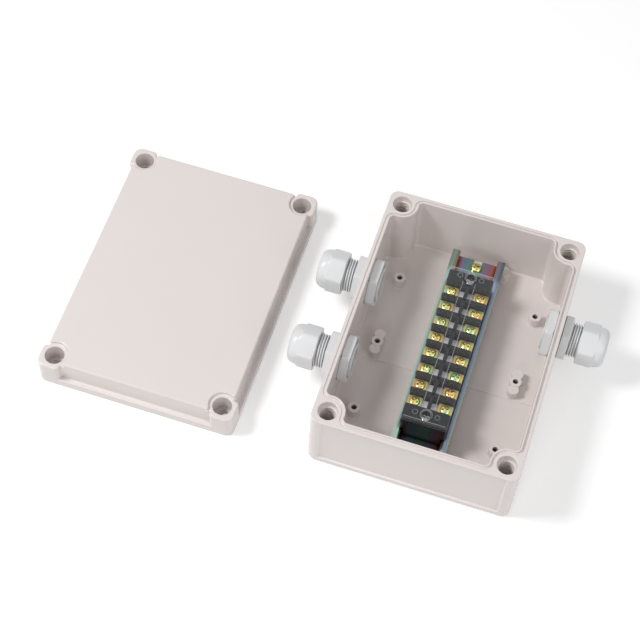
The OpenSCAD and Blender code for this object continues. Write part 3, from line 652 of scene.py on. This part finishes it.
SIDE_GLANDS = {1: [GLAND_Y], -1: [GLAND_Y, -GLAND_Y]}
for s in (1, -1):
    glands = [s * y for y in SIDE_GLANDS[s]]
    long_side, short_side = ((0, s, 0), (0, 0, 1), (s, 0, 0)), ((-s, 0, 0), (0, 0, 1), (0, s, 0))
    for part in box_side(HALF_L - PANEL_SIDE, HALF_L - CORNER_R, glands):
        base_parts.append(placed(part, (s * HALF_W, 0, 0), long_side))
    for part in box_side(HALF_W - PANEL_SIDE, HALF_W - CORNER_R, []):
        base_parts.append(placed(part, (0, s * HALF_L, 0), short_side))
    run = np.abs(OPENING[0][np.isclose(OPENING[0][:, 0], s * IN_X)][:, 1]).min()
    low, high = FLOOR_Z + FLOOR_EDGE, RIM_Z + LIP_H - 0.5
    wall = np.array([(-run, low), (run, low), (run, high), (-run, high)])
    base_parts.append(placed(cap([wall] + gland_loops(glands), IN_X, -1.0), axes=long_side))
    for y in glands:
        tube = sweep(ring((y, GLAND_Z), 64),
                     rounded([(GLAND_R, HALF_W - PANEL_D), (GLAND_R, IN_X)], [], side=-1))
        base_parts.append(placed(tube, axes=long_side))
print("surfaces in the base so far:", len(base_parts))

# %% [markdown]
# Each post has a wide mouth, a coarse thread for the lid's plastic screw, and a well that
# leads to the wall screw's hole in the underside. The thread is a true helix: the bore's
# radius at an angle and a height is the crest's radius plus a groove, which comes round once
# per turn and fades out at both ends.

# %% Base: screw holes
THREAD_R, THREAD_DEEP, THREAD_PITCH, THREAD_TOP, THREAD_END = 4.8, 0.55, 2.4, RIM_Z - 5.0, 33.5
WELL_R, WELL_END = 4.0, 4.5


def threaded_bore(centre):
    """The threaded part of a screw hole, as a grid of heights and angles."""
    angle = np.linspace(0, 2 * math.pi, 48, endpoint=False)[None]
    height = np.linspace(THREAD_TOP, THREAD_END, 61)[:, None]
    wave = np.cos(2 * math.pi * height / THREAD_PITCH - angle)
    fade = np.clip(np.minimum(THREAD_TOP - height, height - THREAD_END) / 0.8, 0, 1)
    radius = THREAD_R + THREAD_DEEP * fade * (0.5 + 0.5 * np.tanh(2.5 * wave))
    points = np.dstack([centre[0] + radius * np.cos(angle), centre[1] + radius * np.sin(angle),
                        np.broadcast_to(height, radius.shape)])
    return soft_grid(points)


for hole in holes:
    base_parts += [
        lathe(hole, [(MOUTH_R + MOUTH_EDGE, RIM_Z), (MOUTH_R, RIM_Z), (MOUTH_R, THREAD_TOP),
                     (THREAD_R, THREAD_TOP)], [MOUTH_EDGE, 0.3]),
        threaded_bore(hole),
        lathe(hole, [(THREAD_R, THREAD_END), (WELL_R, THREAD_END), (WELL_R, WELL_END),
                     (WALL_HOLE_R, WELL_END), (WALL_HOLE_R, 0),
                     (WALL_HOLE_R + WALL_HOLE_EDGE, 0)], [0.2, 0.2, 0.2, WALL_HOLE_EDGE]),
    ]
print("surfaces in the base with its screw holes:", len(base_parts))

# %% [markdown]
# Bosses stand on the floor for whatever else a fitter screws in: one near each corner, and a
# group of three at the middle of each long side, of which the outer two are solid. Two wider
# ones carry the rail. A slightly raised band crosses the floor.

# %% Base: bosses and band
BOSS_X, BOSS_Y, BOSS_TOP, BOSS_R, BOSS_HOLE_R, BOSS_HOLE_END = 45.2, 50, 10.9, 3.9, 1.75, 4.9
LOBE_TOP, LOBE_R, LOBE_STEP = 10.3, 3.6, 5.7
RAIL_BOSS_R, RAIL_SCREW_Y, PAD_R, PAD_AT = 4.7, 71.9, 4.0, np.array([17.6, 76.8])
BAND_HALF, BAND_H = 10, 0.4
UNDER = FLOOR_Z - 0.02


def boss(centre, radius, top, hole=True):
    """A boss with a hollow edge at its foot, and a blind screw hole if it has one."""
    corners = [(radius + 0.8, UNDER), (radius, UNDER), (radius, top)]
    if not hole:
        return lathe(centre, corners + [(0, top)], [0.6, 0.35], steps=36)
    corners += [(BOSS_HOLE_R, top), (BOSS_HOLE_R, BOSS_HOLE_END), (0, BOSS_HOLE_END)]
    return lathe(centre, corners, [0.6, 0.3, 0.25, 0.1], steps=36)


for s in (1, -1):
    base_parts += [boss((s * BOSS_X, y), BOSS_R, BOSS_TOP) for y in (-BOSS_Y, 0, BOSS_Y)]
    base_parts += [boss((s * BOSS_X, y), LOBE_R, LOBE_TOP, False) for y in (-LOBE_STEP, LOBE_STEP)]
    base_parts += [boss((0, s * RAIL_SCREW_Y), RAIL_BOSS_R, BOSS_TOP, False),
                   boss(s * PAD_AT, PAD_R, LOBE_TOP, False)]
base_parts += block((-IN_X - 0.3, -BAND_HALF, FLOOR_Z - 1),
                    (IN_X + 0.3, BAND_HALF, FLOOR_Z + BAND_H), 0.3, 0.25)
piece("base_moulding", base_parts, housing_abs, "box", ["base"])

# %% [markdown]
# The lid is moulded in the same plastic, and lies face up. A low flange runs round it, its
# sides step in between four corner blocks, and the top panel stands 2 mm above the blocks and
# swings round their screw holes. Underneath it is hollow, with the seal's groove at the edge.

# %% Lid
LID_TOP, BLOCK_TOP, FLANGE_TOP, LEDGE_TOP, CEILING = 22.0, 20.0, 6.5, 7.0, 19.2
PANEL_X, PANEL_Y, SCOOP_R, SCOOP_EDGE, STEP_FOOT = HALF_W - 3.2, HALF_L - 3.2, 8.3, 1.5, 0.9
LID_EDGE, FLANGE_EDGE, FOOT_EDGE, BLOCK_EDGE = 1.0, 0.8, 0.4, 1.2
SEAL_UP, SEAL_IN, SEAL_AT, RIB_END, CEILING_AT = 3.6, -0.15, GROOVE_AT + 0.2, -1.65, -2.9
LEDGE_R, LEDGE_EDGE, LEDGE_FOOT, LEDGE_IN, NOTCH_W = 4.2, 0.2, 0.3, 0.3, 5.0
BLOCK_X, BLOCK_Y, HIDDEN_X, HIDDEN_Y, BLOCK_FOOT = 49, 72.5, 44, 67, 5
FLUSH, LAP, SCOOP_LAP = 0.02, 0.05, 0.01
panel = swung_outline(PANEL_X, PANEL_Y, SCOOP_R, SCOOP_EDGE)
top_path = rounded([(-LID_EDGE, LID_TOP), (0, LID_TOP), (0, FLANGE_TOP), (STEP_FOOT, FLANGE_TOP)],
                   [LID_EDGE, 0.8], steps=6)
flange_path = rounded([(-FLANGE_EDGE, FLANGE_TOP), (0, FLANGE_TOP), (0, 0), (-FOOT_EDGE, 0)],
                      [0.55, FOOT_EDGE])
under_path = rounded(
    [(SEAL_AT, 0), (GROOVE_AT, 0), (GROOVE_AT, SEAL_UP), (SEAL_IN, SEAL_UP), (SEAL_IN, 0),
     (RIB_END, 0), (RIB_END, CEILING), (CEILING_AT, CEILING)], [0.2, 0.2, 0.2, 0.2, 0.2, 1.0])


def ledge_outline(notched):
    """The hole through a screw ledge: a circle, joined with a square notch if it has one."""
    ray = ring()[1]
    radius = np.full(len(ray), LEDGE_R)
    if notched:
        half, shift = NOTCH_W / math.sqrt(2), LEDGE_R / 2
        sideways, up_way = np.abs(ray[:, 0]), ray[:, 1]
        upper = (half + shift) / np.maximum(sideways + up_way, 1e-6)
        lower = (half - shift) / np.maximum(sideways - up_way, 1e-6)
        radius = np.maximum(radius, np.where((upper * up_way >= shift) & (up_way > 0), upper,
                                             np.where(up_way < 0, lower, radius)))
        radius = np.minimum(radius, half + shift)
    return radius[:, None] * ray, ray


lid_parts = [
    sweep(panel, top_path), cap([loop_at(panel, -LID_EDGE)], LID_TOP),
    sweep(OUTSIDE, flange_path),
    cap([loop_at(OUTSIDE, -FLANGE_EDGE), loop_at(panel, STEP_FOOT)] + holes_of(LEDGE_R + 2),
        FLANGE_TOP),
    sweep(OPENING, under_path), cap([loop_at(OPENING, CEILING_AT)], CEILING, -1.0),
]
out_x, out_y, in_x, in_y = HALF_W + FLUSH, HALF_L + FLUSH, PANEL_X - LAP, PANEL_Y - LAP
corners_in_plan = [
    (BLOCK_X, HIDDEN_Y), (in_x, HIDDEN_Y), (in_x, BLOCK_Y), (out_x, BLOCK_Y), (out_x, out_y),
    (BLOCK_X, out_y), (BLOCK_X, in_y), (HIDDEN_X, in_y), (HIDDEN_X, HIDDEN_Y),
    (BLOCK_X, HIDDEN_Y)]
plan, growth = rounded(corners_in_plan, [1.3, 0.6, 2.5, CORNER_R, 2.5, 0.6, 1.3, 1.3], side=-1,
                       steps=6)
block_plan = joined([(plan[:-1], growth[:-1])])
block_path = rounded([(-BLOCK_EDGE, BLOCK_TOP), (0, BLOCK_TOP), (0, BLOCK_FOOT)],
                     [BLOCK_EDGE], steps=6)
hollow_path, hollow_tilt = rounded([(SCOOP_LAP, 21), (SCOOP_LAP, BLOCK_TOP - SCOOP_LAP),
                                    (1.2, BLOCK_TOP - SCOOP_LAP)], [0.6])
scoop = swung_corner(PANEL_X, PANEL_Y, SCOOP_R, SCOOP_EDGE)
corner_hole = (HOLE_X, HOLE_Y)
under_holes = []
for sx in (1, -1):
    for sy in (1, -1):
        place, ray = ledge_outline(sx > 0)
        ledge = (place * (1, sy) + corner_hole, ray * (1, sy))
        under_holes.append(loop_at(ledge, LEDGE_FOOT) * (sx, sy))
        lid_parts += [placed(part, axes=((sx, 0, 0), (0, sy, 0), (0, 0, 1))) for part in (
            sweep(block_plan, block_path),
            cap([loop_at(block_plan, -BLOCK_EDGE),
                 loop_at(ring(corner_hole), MOUTH_R + MOUTH_EDGE)], BLOCK_TOP),
            sweep(scoop, (hollow_path[1:-1], hollow_tilt[1:-1]), close_columns=False),
            lathe(corner_hole, [(MOUTH_R + MOUTH_EDGE, BLOCK_TOP), (MOUTH_R, BLOCK_TOP),
                                (MOUTH_R, LEDGE_TOP), (MOUTH_R - LEDGE_IN, LEDGE_TOP)],
                  [MOUTH_EDGE, LEDGE_IN]),
            cap([loop_at(ring(corner_hole), MOUTH_R - LEDGE_IN), loop_at(ledge, LEDGE_EDGE)],
                LEDGE_TOP),
            sweep(ledge, rounded([(LEDGE_EDGE, LEDGE_TOP), (0, LEDGE_TOP), (0, 0),
                                  (LEDGE_FOOT, 0)], [LEDGE_EDGE, LEDGE_FOOT], side=-1)),
        )]
lid_parts.append(cap([loop_at(OUTSIDE, -FOOT_EDGE), loop_at(OPENING, SEAL_AT)] + under_holes,
                     0, -1.0))
lid_parts = [placed(part, (LID_AT[0], LID_AT[1], 0)) for part in lid_parts]
piece("lid_moulding", lid_parts, housing_abs, "box", ["lid"])

# %% [markdown]
# A cable gland is turned and moulded nylon. Its hexagons are the smaller of two forms at
# every angle: the six flats, and the cone that a lathe's tool cuts at the ends. Taking the
# smaller one softly leaves a small radius where the two meet, and gives the curved lines that
# every chamfered nut shows. The neck's thread is a helix like the one in the posts.

# %% Cable glands
ANGLES = np.linspace(0, 2 * math.pi, 144, endpoint=False)[None]
TO_CORNER = 1 / math.cos(math.pi / 6)


def soft_min(a, b, width=0.12):
    """The smaller of two values, rounded over where they are nearly equal."""
    return -width * np.logaddexp(-a / width, -b / width)


def hexagon(across_flats, turn, trim=0.25, width=0.2):
    """The radius of a hexagon at each angle, its corners trimmed to a circle and rounded over."""
    sector = (ANGLES + math.radians(turn)) % (math.pi / 3) - math.pi / 6
    return soft_min(across_flats / 2 / np.cos(sector), across_flats / 2 * TO_CORNER - trim, width)


def hex_rows(across_flats, start, stop, chamfer, turn, slope=1.0):
    """Rows of a hexagonal bar from one end to the other, as places along it and radii."""
    ends = chamfer * np.array([0, 0.35, 0.7, 1.0, 1.4])
    along = np.concatenate([ends, np.linspace(1.6 * chamfer, (stop - start) / 2, 3)])
    cone = across_flats / 2 * TO_CORNER - chamfer + along * slope
    rows = soft_min(hexagon(across_flats, turn), cone[:, None])
    return np.concatenate([start + along, stop - along[::-1]]), np.vstack([rows, rows[::-1]])


def round_rows(corners, radii):
    """Rows of a turned form: the same path of places and radii at every angle."""
    path = rounded(corners, radii)[0]
    return path[:, 0], np.repeat(path[:, 1:], ANGLES.size, axis=1)


def gland_part(rows, side, y):
    """Sets rows on a gland's axis: place along it, and radius at each angle."""
    along = np.concatenate([r[0] for r in rows])[:, None]
    radius = np.vstack([r[1] for r in rows])
    points = np.dstack([np.broadcast_to(side * (HALF_W - PANEL_D + along), radius.shape),
                        y + radius * np.sin(ANGLES), GLAND_Z + radius * np.cos(ANGLES)])
    return soft_grid(points, outward=side, close_rows=True)


def neck_rows(start, stop, crest, depth, pitch):
    """Rows of an outer thread, which fades out over its last half turn at both ends."""
    along = np.linspace(start, stop, int((stop - start) / pitch * 12))[:, None]
    wave = np.cos(2 * math.pi * along / pitch - ANGLES)
    fade = np.clip(np.minimum(along - start, stop - along) / 0.5, 0, 1)
    cut = depth * fade * (0.5 - 0.5 * np.tanh(2.5 * (wave + 0.35)))
    return along[:, 0], crest - cut


def nut_rows(start):
    """The dome nut: a hexagon cut softly by a turned form with a chamfer and a blunt nose."""
    nut_af, nose_start, nose_base, nose_l, tip_r, blunt = 24.0, 10.8, 12.75, 6.4, 8.0, 2 / 2.3
    corner = nut_af / 2 * TO_CORNER
    turn = np.linspace(0, math.pi / 2, 36)
    along = np.concatenate([[0, 0.15, 0.3, 0.45, 0.6, 0.8, 4, 8],
                            nose_start - np.array([1.0, 0.8, 0.6, 0.4, 0.2]),
                            nose_start + nose_l * np.sin(turn) ** blunt])
    turned = np.interp(along, [0, 0.6, 0.8, nose_start - 0.9, nose_start],
                       [corner - 0.6, corner, corner + 1, corner + 0.5, nose_base + 0.25])
    turned[-len(turn) + 1:] = tip_r + (nose_base - tip_r) * np.abs(np.cos(turn[1:])) ** blunt
    outer = soft_min(hexagon(nut_af + 0.8, 0, 0.4, 0.4), turned[:, None], 0.15)
    inner_along, inner = round_rows(
        [(17.25, 7.7), (17.0, 7.5), (15.3, 7.5), (15.3, 9.2), (10.5, 9.2), (10.5, 10.8),
         (0, 10.8), (0, 12)], [0.1, 0.3, 0.3, 0.3, 0.3, 0.5])
    return [(start + along, outer), (start + inner_along, inner)]


BODY_END, HEX_START, HEX_END, NUT_START, BUSH_AT, NECK_END = -10.4, 1.5, 6.5, 13.1, 14.1, 22.1
BODY_R, NECK_R, BORE_R, POCKET_R, BUSH_R, ENTRY_R, WASHER_R = 11.1, 10.7, 7.5, 8.55, 8.5, 5.5, 13.2
THREAD_START, THREAD_STOP, NECK_GROOVE, NECK_PITCH, BUSH_L = 6.55, 21.6, 1.3, 1.65, 13.0
LOCKNUT_START, LOCKNUT_END = -9.4, -3.6
gland_rows = {
    "body": [
        round_rows([(BODY_END, BORE_R + 0.2), (BODY_END, BODY_R), (1.0, BODY_R),
                    (HEX_START, BODY_R)], [0.5, 0.1]),
        hex_rows(27.0, HEX_START, HEX_END, 0.6, 30),
        neck_rows(THREAD_START, THREAD_STOP, NECK_R, NECK_GROOVE, NECK_PITCH),
        round_rows([(THREAD_STOP + 0.1, NECK_R - 0.1), (NECK_END, NECK_R - 0.1),
                    (NECK_END, POCKET_R), (BUSH_AT, POCKET_R), (BUSH_AT, BORE_R),
                    (BODY_END, BORE_R), (BODY_END, BORE_R + 0.2)], [0.3, 0.2, 0.2, 0.2, 0.3]),
    ],
    "washer": [round_rows([(0.02, GLAND_R), (0.02, WASHER_R), (HEX_START - 0.02, WASHER_R),
                           (HEX_START - 0.02, GLAND_R)], [0.3, 0.3])],
    "locknut": [hex_rows(29.0, LOCKNUT_START, LOCKNUT_END, 1.0, 30, slope=0.8),
                round_rows([(LOCKNUT_END, GLAND_R), (LOCKNUT_START, GLAND_R)], [])],
    "nut": nut_rows(NUT_START),
    "bush": [round_rows([(BUSH_AT, 7.0), (BUSH_AT, BUSH_R), (BUSH_AT + BUSH_L, BUSH_R),
                         (BUSH_AT + BUSH_L, ENTRY_R), (BUSH_AT, ENTRY_R), (BUSH_AT, 7.0)],
                        [0.4, 0.8, 0.8, 0.4])],
}
GLAND_FINISH = {
    "body": (gland_nylon, "gland_nylon"), "washer": (grey_rubber, "washer_rubber"),
    "locknut": (gland_nylon, "gland_nylon"), "nut": (gland_nylon, "gland_nylon"),
    "bush": (seal_rubber, "bush_rubber"),
}
for number, (side, y) in enumerate(((-1, GLAND_Y), (-1, -GLAND_Y), (1, GLAND_Y)), start=1):
    for part, (material, slot) in GLAND_FINISH.items():
        body = f"dome_nut_{number}" if part == "nut" else "box"
        piece(f"gland_{number}_{part}_fine", [gland_part(gland_rows[part], side, y)], material,
              body, [f"gland_{number}_{part}"])

# %% [markdown]
# The terminal block is moulded in black phenolic plastic. Tall barriers with round ends part
# the poles, a spine parts the two rows, and a lug at each end takes a mounting screw in a
# round seat. It is built up from rounded blocks that run into each other.

# %% Terminal block
body_low, body_high = span("terminal_body")
strap_low, strap_high = span("contact_straps")
TERM_X, TERM_TOP, DECK_Z = body_high[0], body_high[2], strap_low[2]
TERM_MID = (body_low[1] + body_high[1]) / 2
POLES, PITCH, BARRIER_T, SPINE_T = 8, 11.85, 2.9, 2.2
RAIL_TOP, FOOT_X, LUG_Z, LUG_STEP, TERM_EDGE = 18.8, 12.1, 29.1, 1.5, 0.35
poles = TERM_MID + (np.arange(POLES) - (POLES - 1) / 2) * PITCH
barriers = TERM_MID + (np.arange(POLES + 1) - POLES / 2) * PITCH
MOUNT_Y = (body_high[1] - body_low[1]) / 2 - 5.2
SEAT_R, SEAT_EDGE, SEAT_Z = 3.8, 0.3, TERM_TOP - 4.5
body_parts = block((-FOOT_X, body_low[1], body_low[2]), (FOOT_X, body_high[1], RAIL_TOP + 1),
                   0.6, 0.3)
body_parts += block((-TERM_X + 0.25, body_low[1] + 0.5, RAIL_TOP),
                    (TERM_X - 0.25, body_high[1] - 0.5, DECK_Z), 0.6, 0.3)
body_parts += block((-SPINE_T / 2, barriers[0], DECK_Z - 1),
                    (SPINE_T / 2, barriers[-1], TERM_TOP), 0.4, 0.3)
for y in barriers[1:-1]:
    half = BARRIER_T / 2 - 0.15
    body_parts += block((-TERM_X, y - half, RAIL_TOP + 0.02), (TERM_X, y + half, TERM_TOP),
                        1.1, TERM_EDGE)
for s in (1, -1):
    inner = TERM_MID + s * (barriers[-1] - TERM_MID - BARRIER_T / 2)
    end = TERM_MID + s * (body_high[1] - TERM_MID)
    mount = (0, TERM_MID + s * MOUNT_Y)
    y0, y1 = sorted((inner, end))
    body_parts += block((-TERM_X, y0, RAIL_TOP + 0.02), (TERM_X, y1, LUG_Z), 0.8, TERM_EDGE)
    y0, y1 = sorted((inner, end - s * LUG_STEP))
    lug = box_outline(TERM_X - 0.02, (y1 - y0) / 2, 0.8, (0, (y0 + y1) / 2))
    body_parts += [
        sweep(lug, rounded([(-TERM_EDGE, TERM_TOP), (0, TERM_TOP), (0, 28.2)], [TERM_EDGE])),
        cap([loop_at(lug, -TERM_EDGE), loop_at(ring(mount, 36), SEAT_R + SEAT_EDGE)], TERM_TOP),
        lathe(mount, [(SEAT_R + SEAT_EDGE, TERM_TOP), (SEAT_R, TERM_TOP),
                      (SEAT_R, LUG_Z + 0.02), (1.9, LUG_Z + 0.02)], [SEAT_EDGE, 0.2], steps=36),
    ]
piece("terminal_moulding", body_parts, bakelite, "box", ["terminal_body"])

# %% [markdown]
# In each pole a tinned strap joins the two screws. Each screw presses a square clamp plate
# down on its wire, and the plate's edges are bent up a little so that the strands stay under
# it: the lift grows with the square of the distance from the screw.

# %% Straps and clamps
clamp_low, clamp_high = span("wire_clamps")
SCREW_X, STRAP_HALF, CLAMP_X, CLAMP_Y, CLAMP_LIFT = 9.6, 3.3, 4.6, 3.9, 0.7
CLAMP_TOP = clamp_high[2] - 0.2
strap_parts, clamp_parts = [], []
for y in poles:
    strap_parts += block((strap_low[0], y - STRAP_HALF, strap_low[2]),
                         (strap_high[0], y + STRAP_HALF, strap_high[2]), 0.5, 0.2, 3)
for x in (-SCREW_X, SCREW_X):
    for y in poles:
        for place, lean, faces in block((x - CLAMP_X, y - CLAMP_Y, clamp_low[2]),
                                        (x + CLAMP_X, y + CLAMP_Y, CLAMP_TOP), 0.8, 0.25, 3):
            bend = ((place[:, 0] - x) / CLAMP_X) ** 2
            clamp_parts.append((place + np.outer(bend, (0, 0, CLAMP_LIFT)), lean, faces))
piece("strap_set", strap_parts, tinned, "box", ["contact_straps"])
piece("clamp_set", clamp_parts, clamp_zinc, "box", ["wire_clamps"])

# %% [markdown]
# The screws are pressed: a low rim, a dome, and a cross that narrows towards its floor. The
# dome's height at a radius r is rim + rise * sqrt(1 - (r / R) ** 2.5), which stands upright at
# the rim and is nearly flat on top.

# %% Screws
CROSS_LONG, CROSS_WIDE, CROSS_DEEP, CROSS_CLEAR, SHANK_R = 2.2, 0.62, 1.7, 0.15, 1.95


def crossed(grow=0.0, shrink=1.0):
    """The outline of a cross, as a loop of twelve corners."""
    long, wide = (CROSS_LONG + grow) * shrink, (CROSS_WIDE + grow) * shrink
    corner = np.array([(long, -wide), (long, wide), (wide, wide)])
    quarter = [corner @ np.array([(math.cos(a), math.sin(a)), (-math.sin(a), math.cos(a))])
               for a in np.radians([0, 90, 180, 270])]
    return np.vstack(quarter)


def flat_faced(loop_a, height_a, loop_b, height_b):
    """Walls between two loops with a hard edge at each corner."""
    a = np.column_stack([loop_a, height_a])
    b = np.column_stack([loop_b, height_b])
    quads = np.stack([a, b, np.roll(b, -1, axis=0), np.roll(a, -1, axis=0)], axis=1)
    lean = np.cross(quads[:, 1] - quads[:, 0], quads[:, 3] - quads[:, 0])
    lean /= np.linalg.norm(lean, axis=1, keepdims=True)
    middle = quads.mean(axis=1)
    inward = np.sign(-(lean[:, :2] * middle[:, :2]).sum(axis=1, keepdims=True))
    index = np.arange(len(quads) * 4).reshape(-1, 4)
    return quads.reshape(-1, 3), np.repeat(lean * inward, 4, axis=0), halves(index)


def screw(centre, seat, sizes, turn):
    """A pan-head screw with a cross, from its head's diameter and height and its shank's length."""
    head_r, head_h, shank_end = sizes[0] / 2, sizes[1], -sizes[2]
    rim = head_h * 0.35

    def dome(r):
        return rim + (head_h - rim) * np.sqrt(np.maximum(1 - (r / head_r) ** 2.5, 0))

    slide = head_r * np.sin(np.linspace(math.pi / 2, math.asin(0.72), 9))
    radius = np.concatenate([[head_r, head_r], slide[1:]])
    height = np.concatenate([[0, rim], dome(slide[1:])])
    around = ring(steps=40)
    rows = radius[:, None, None] * around[1][None]
    skirt = soft_grid(np.dstack([rows, np.broadcast_to(height[:, None], rows.shape[:2])]))
    cross = crossed()
    rings = np.vstack([loop_at(around, slide[-1] * k) for k in (0.35, 0.6, 0.8)])
    rings = rings[~inside(rings, crossed(CROSS_CLEAR))]
    n, corners = len(around[0]), len(cross)
    flat, faces = triangles(np.vstack([loop_at(around, slide[-1]), cross, rings]),
                            loop_edges([0, n, n + corners]))
    faces = faces[~inside(flat[faces].mean(axis=1), cross)]
    r = np.linalg.norm(flat, axis=1)
    slope = -(dome(r + 0.01) - dome(np.maximum(r - 0.01, 0))) / 0.02
    lean = np.column_stack([flat * (slope / np.maximum(r, 1e-6))[:, None], np.ones(len(flat))])
    lean /= np.linalg.norm(lean, axis=1, keepdims=True)
    floor_loop, floor_z = crossed(shrink=0.8), head_h - CROSS_DEEP
    parts = [
        skirt, (np.column_stack([flat, dome(r)]), lean, faces),
        flat_faced(cross, dome(np.linalg.norm(cross, axis=1)),
                   floor_loop, np.full(corners, floor_z)),
        cap([floor_loop], floor_z),
        lathe((0, 0), [(head_r, 0), (SHANK_R, 0), (SHANK_R, shank_end), (0, shank_end)],
              [0.1, 0.4], side=1, steps=24),
    ]
    c, s = math.cos(math.radians(turn)), math.sin(math.radians(turn))
    return [placed(part, (*centre, seat), ((c, s, 0), (-s, c, 0), (0, 0, 1))) for part in parts]


CLAMP_SCREW, MOUNT_SCREW, RAIL_SCREW = (6.6, 2.3, 6.8), (7.0, 2.4, 18), (7.0, 2.4, 6.5)
RAIL_T = 1.0
terminal_parts, mount_parts, rail_parts = [], [], []
for index, y in enumerate(poles):
    for s in (-1, 1):
        terminal_parts += screw((s * SCREW_X, y), CLAMP_TOP, CLAMP_SCREW, 37 * index + 20 * s)
for s in (-1, 1):
    mount_parts += screw((0, TERM_MID + s * MOUNT_Y), SEAT_Z + 0.52, MOUNT_SCREW, 15 + 20 * s)
    rail_parts += screw((0, s * RAIL_SCREW_Y), BOSS_TOP + RAIL_T, RAIL_SCREW, 25)
piece("terminal_screw_set", terminal_parts, screw_zinc, "box",
      ["terminal_screws"])
piece("mount_screw_set", mount_parts, nickel, "box",
      ["terminal_mount_screws"])
piece("rail_screw_set", rail_parts, screw_zinc, "box", ["rail_screws"])

# %% [markdown]
# The cover is a clear strip that hooks over the block's ends. Two ribs stiffen it, rings
# stand round the holes for the mounting screws, and small rings beside them are the marks of
# the pins that pushed it out of its mould. What the eye sees of it is mostly its edges, so
# the ribs, rings and edges are a piece of their own with a brighter, more covering finish,
# which paints highlights on them where a real sheet would glint.

# %% Cover
cover_low, cover_high = span("terminal_cover")
TOP_Z, COVER_Z = cover_high[2] - 0.4, TERM_TOP + 0.3
RIB_FOOT, RIB_X, RIB_HALF, HOOK_T, HOOK_IN = TOP_Z - 0.1, 4, 0.15, 1.2, 0.03
sheet_parts = block((-TERM_X, cover_low[1], COVER_Z), (TERM_X, cover_high[1], TOP_Z), 1.2, 0.4)
for s in (1, -1):
    end = cover_high[1] if s > 0 else cover_low[1]
    y0, y1 = sorted((end, end - s * HOOK_T))
    sheet_parts += block((-TERM_X + HOOK_IN, y0 + HOOK_IN, cover_low[2]),
                         (TERM_X - HOOK_IN, y1 - HOOK_IN, COVER_Z + 0.5), 0.5, 0.3)
piece("cover_sheet", sheet_parts, clear, "clear_cover", ["terminal_cover"])


def hoop(centre, radius, thick, rise):
    """A low ring with a round crest, which stands on the cover's top."""
    return lathe(centre, [(radius, RIB_FOOT), (radius, TOP_Z + rise),
                          (radius - thick, TOP_Z + rise), (radius - thick, RIB_FOOT)],
                 [thick * 0.45, thick * 0.45], steps=40)


rib_parts = []
for s in (-1, 1):
    rib_parts += block((s * RIB_X - RIB_HALF, barriers[0], RIB_FOOT),
                       (s * RIB_X + RIB_HALF, barriers[-1], TOP_Z + 0.3), 0.12, 0.12, 3)
    y = TERM_MID + s * MOUNT_Y
    rib_parts += [hoop((0, y), 3.8, 0.35, 0.4), hoop((0, y), 2.9, 0.3, 0.4)]
    rib_parts += [hoop((x, y), 1.7, 0.3, 0.15) for x in (-7, 7)]
    edge = (cover_high[1] - 0.75) if s > 0 else (cover_low[1] + 0.75)
    rib_parts += block((-TERM_X + 1.2, edge - 0.2, RIB_FOOT),
                       (TERM_X - 1.2, edge + 0.2, TOP_Z + 0.06), 0.15, 0.05, 3)
# The ribs, rings and edges get the whiter finish: painted highlights.
piece("cover_ribs", rib_parts, clear_with_painted_glints, "clear_cover")

# %% [markdown]
# The stage is a plain white sheet. A second, faint glow is added to the sheet and the sky only
# for rays that show them to the eye, directly or in a shiny surface, so the background is pale
# and puts no more light on the object. The main soft lamp stands to the upper left, a weaker
# one, lower at the right, fills the shadows and reaches the inside of the left wall, and a
# small one in front draws the bright lines along the moulded edges.

# %% Stage and light
floor_mesh = bpy.data.meshes.new("floor")
FLOOR_REACH = 6.0
floor_mesh.from_pydata([(FLOOR_REACH * x, FLOOR_REACH * y, 0)
                        for x, y in ((-1, -1), (1, -1), (1, 1), (-1, 1))], [], [(0, 1, 2, 3)])
floor = bpy.data.objects.new("floor", floor_mesh)
bpy.context.scene.collection.objects.link(floor)


def shown(tree):
    """One for a ray that shows the stage: from the camera, off a shiny face or through glass."""
    path = add(tree, "ShaderNodeLightPath")
    pair = add(tree, "ShaderNodeMath", {"operation": "MAXIMUM"},
               [(0, path, "Is Camera Ray"), (1, path, "Is Glossy Ray")])
    return add(tree, "ShaderNodeMath", {"operation": "MAXIMUM"},
               [(0, pair, "Value"), (1, path, "Is Transmission Ray")])


SHEET_GLOW, SKY_FILL, SKY_SHOWN = 0.35, 0.36, 1.0
sheet, sheet_tree, sheet_shader = finish("white_paper_sheet", "#E6E6E6", 0.9,
                                         Emission_Color=(1, 1, 1, 1))
glow = add(sheet_tree, "ShaderNodeMath", {"operation": "MULTIPLY", 1: SHEET_GLOW},
           [(0, shown(sheet_tree), "Value")])
sheet_tree.links.new(glow.outputs["Value"], sheet_shader.inputs["Emission Strength"])
floor_mesh.materials.append(sheet)

world = bpy.data.worlds.new("world")
bpy.context.scene.world = world
world.use_nodes = True
sky = world.node_tree.nodes["Background"]
sky.inputs["Color"].default_value = (1, 1, 1, 1)
sky_level = add(world.node_tree, "ShaderNodeMapRange", {"To Min": SKY_FILL, "To Max": SKY_SHOWN},
                [("Value", shown(world.node_tree), "Value")])
world.node_tree.links.new(sky_level.outputs["Result"], sky.inputs["Strength"])


LIT_POINT = Vector((-0.05, 0, 0))


def lamp(name, place, size, power):
    """A square area lamp at a place in metres, turned towards the middle of the object."""
    data = bpy.data.lights.new(name, "AREA")
    data.size = size
    data.energy = power
    made = bpy.data.objects.new(name, data)
    bpy.context.scene.collection.objects.link(made)
    made.location = place
    made.rotation_mode = "QUATERNION"
    made.rotation_quaternion = (LIT_POINT - Vector(place)).to_track_quat("-Z", "Y")
    print(f"{name}: {power} W")


lamp("key_softbox", (-0.85, -0.28, 1.15), 0.35, 10.9)
lamp("right_softbox", (0.90, -0.45, 0.72), 0.7, 3.3)
lamp("front_strip", (-0.15, -1.35, 0.80), 0.25, 2.2)

# %% Finish
scene = bpy.context.scene
scene.view_settings.view_transform = "Standard"
bpy.context.view_layer.update()
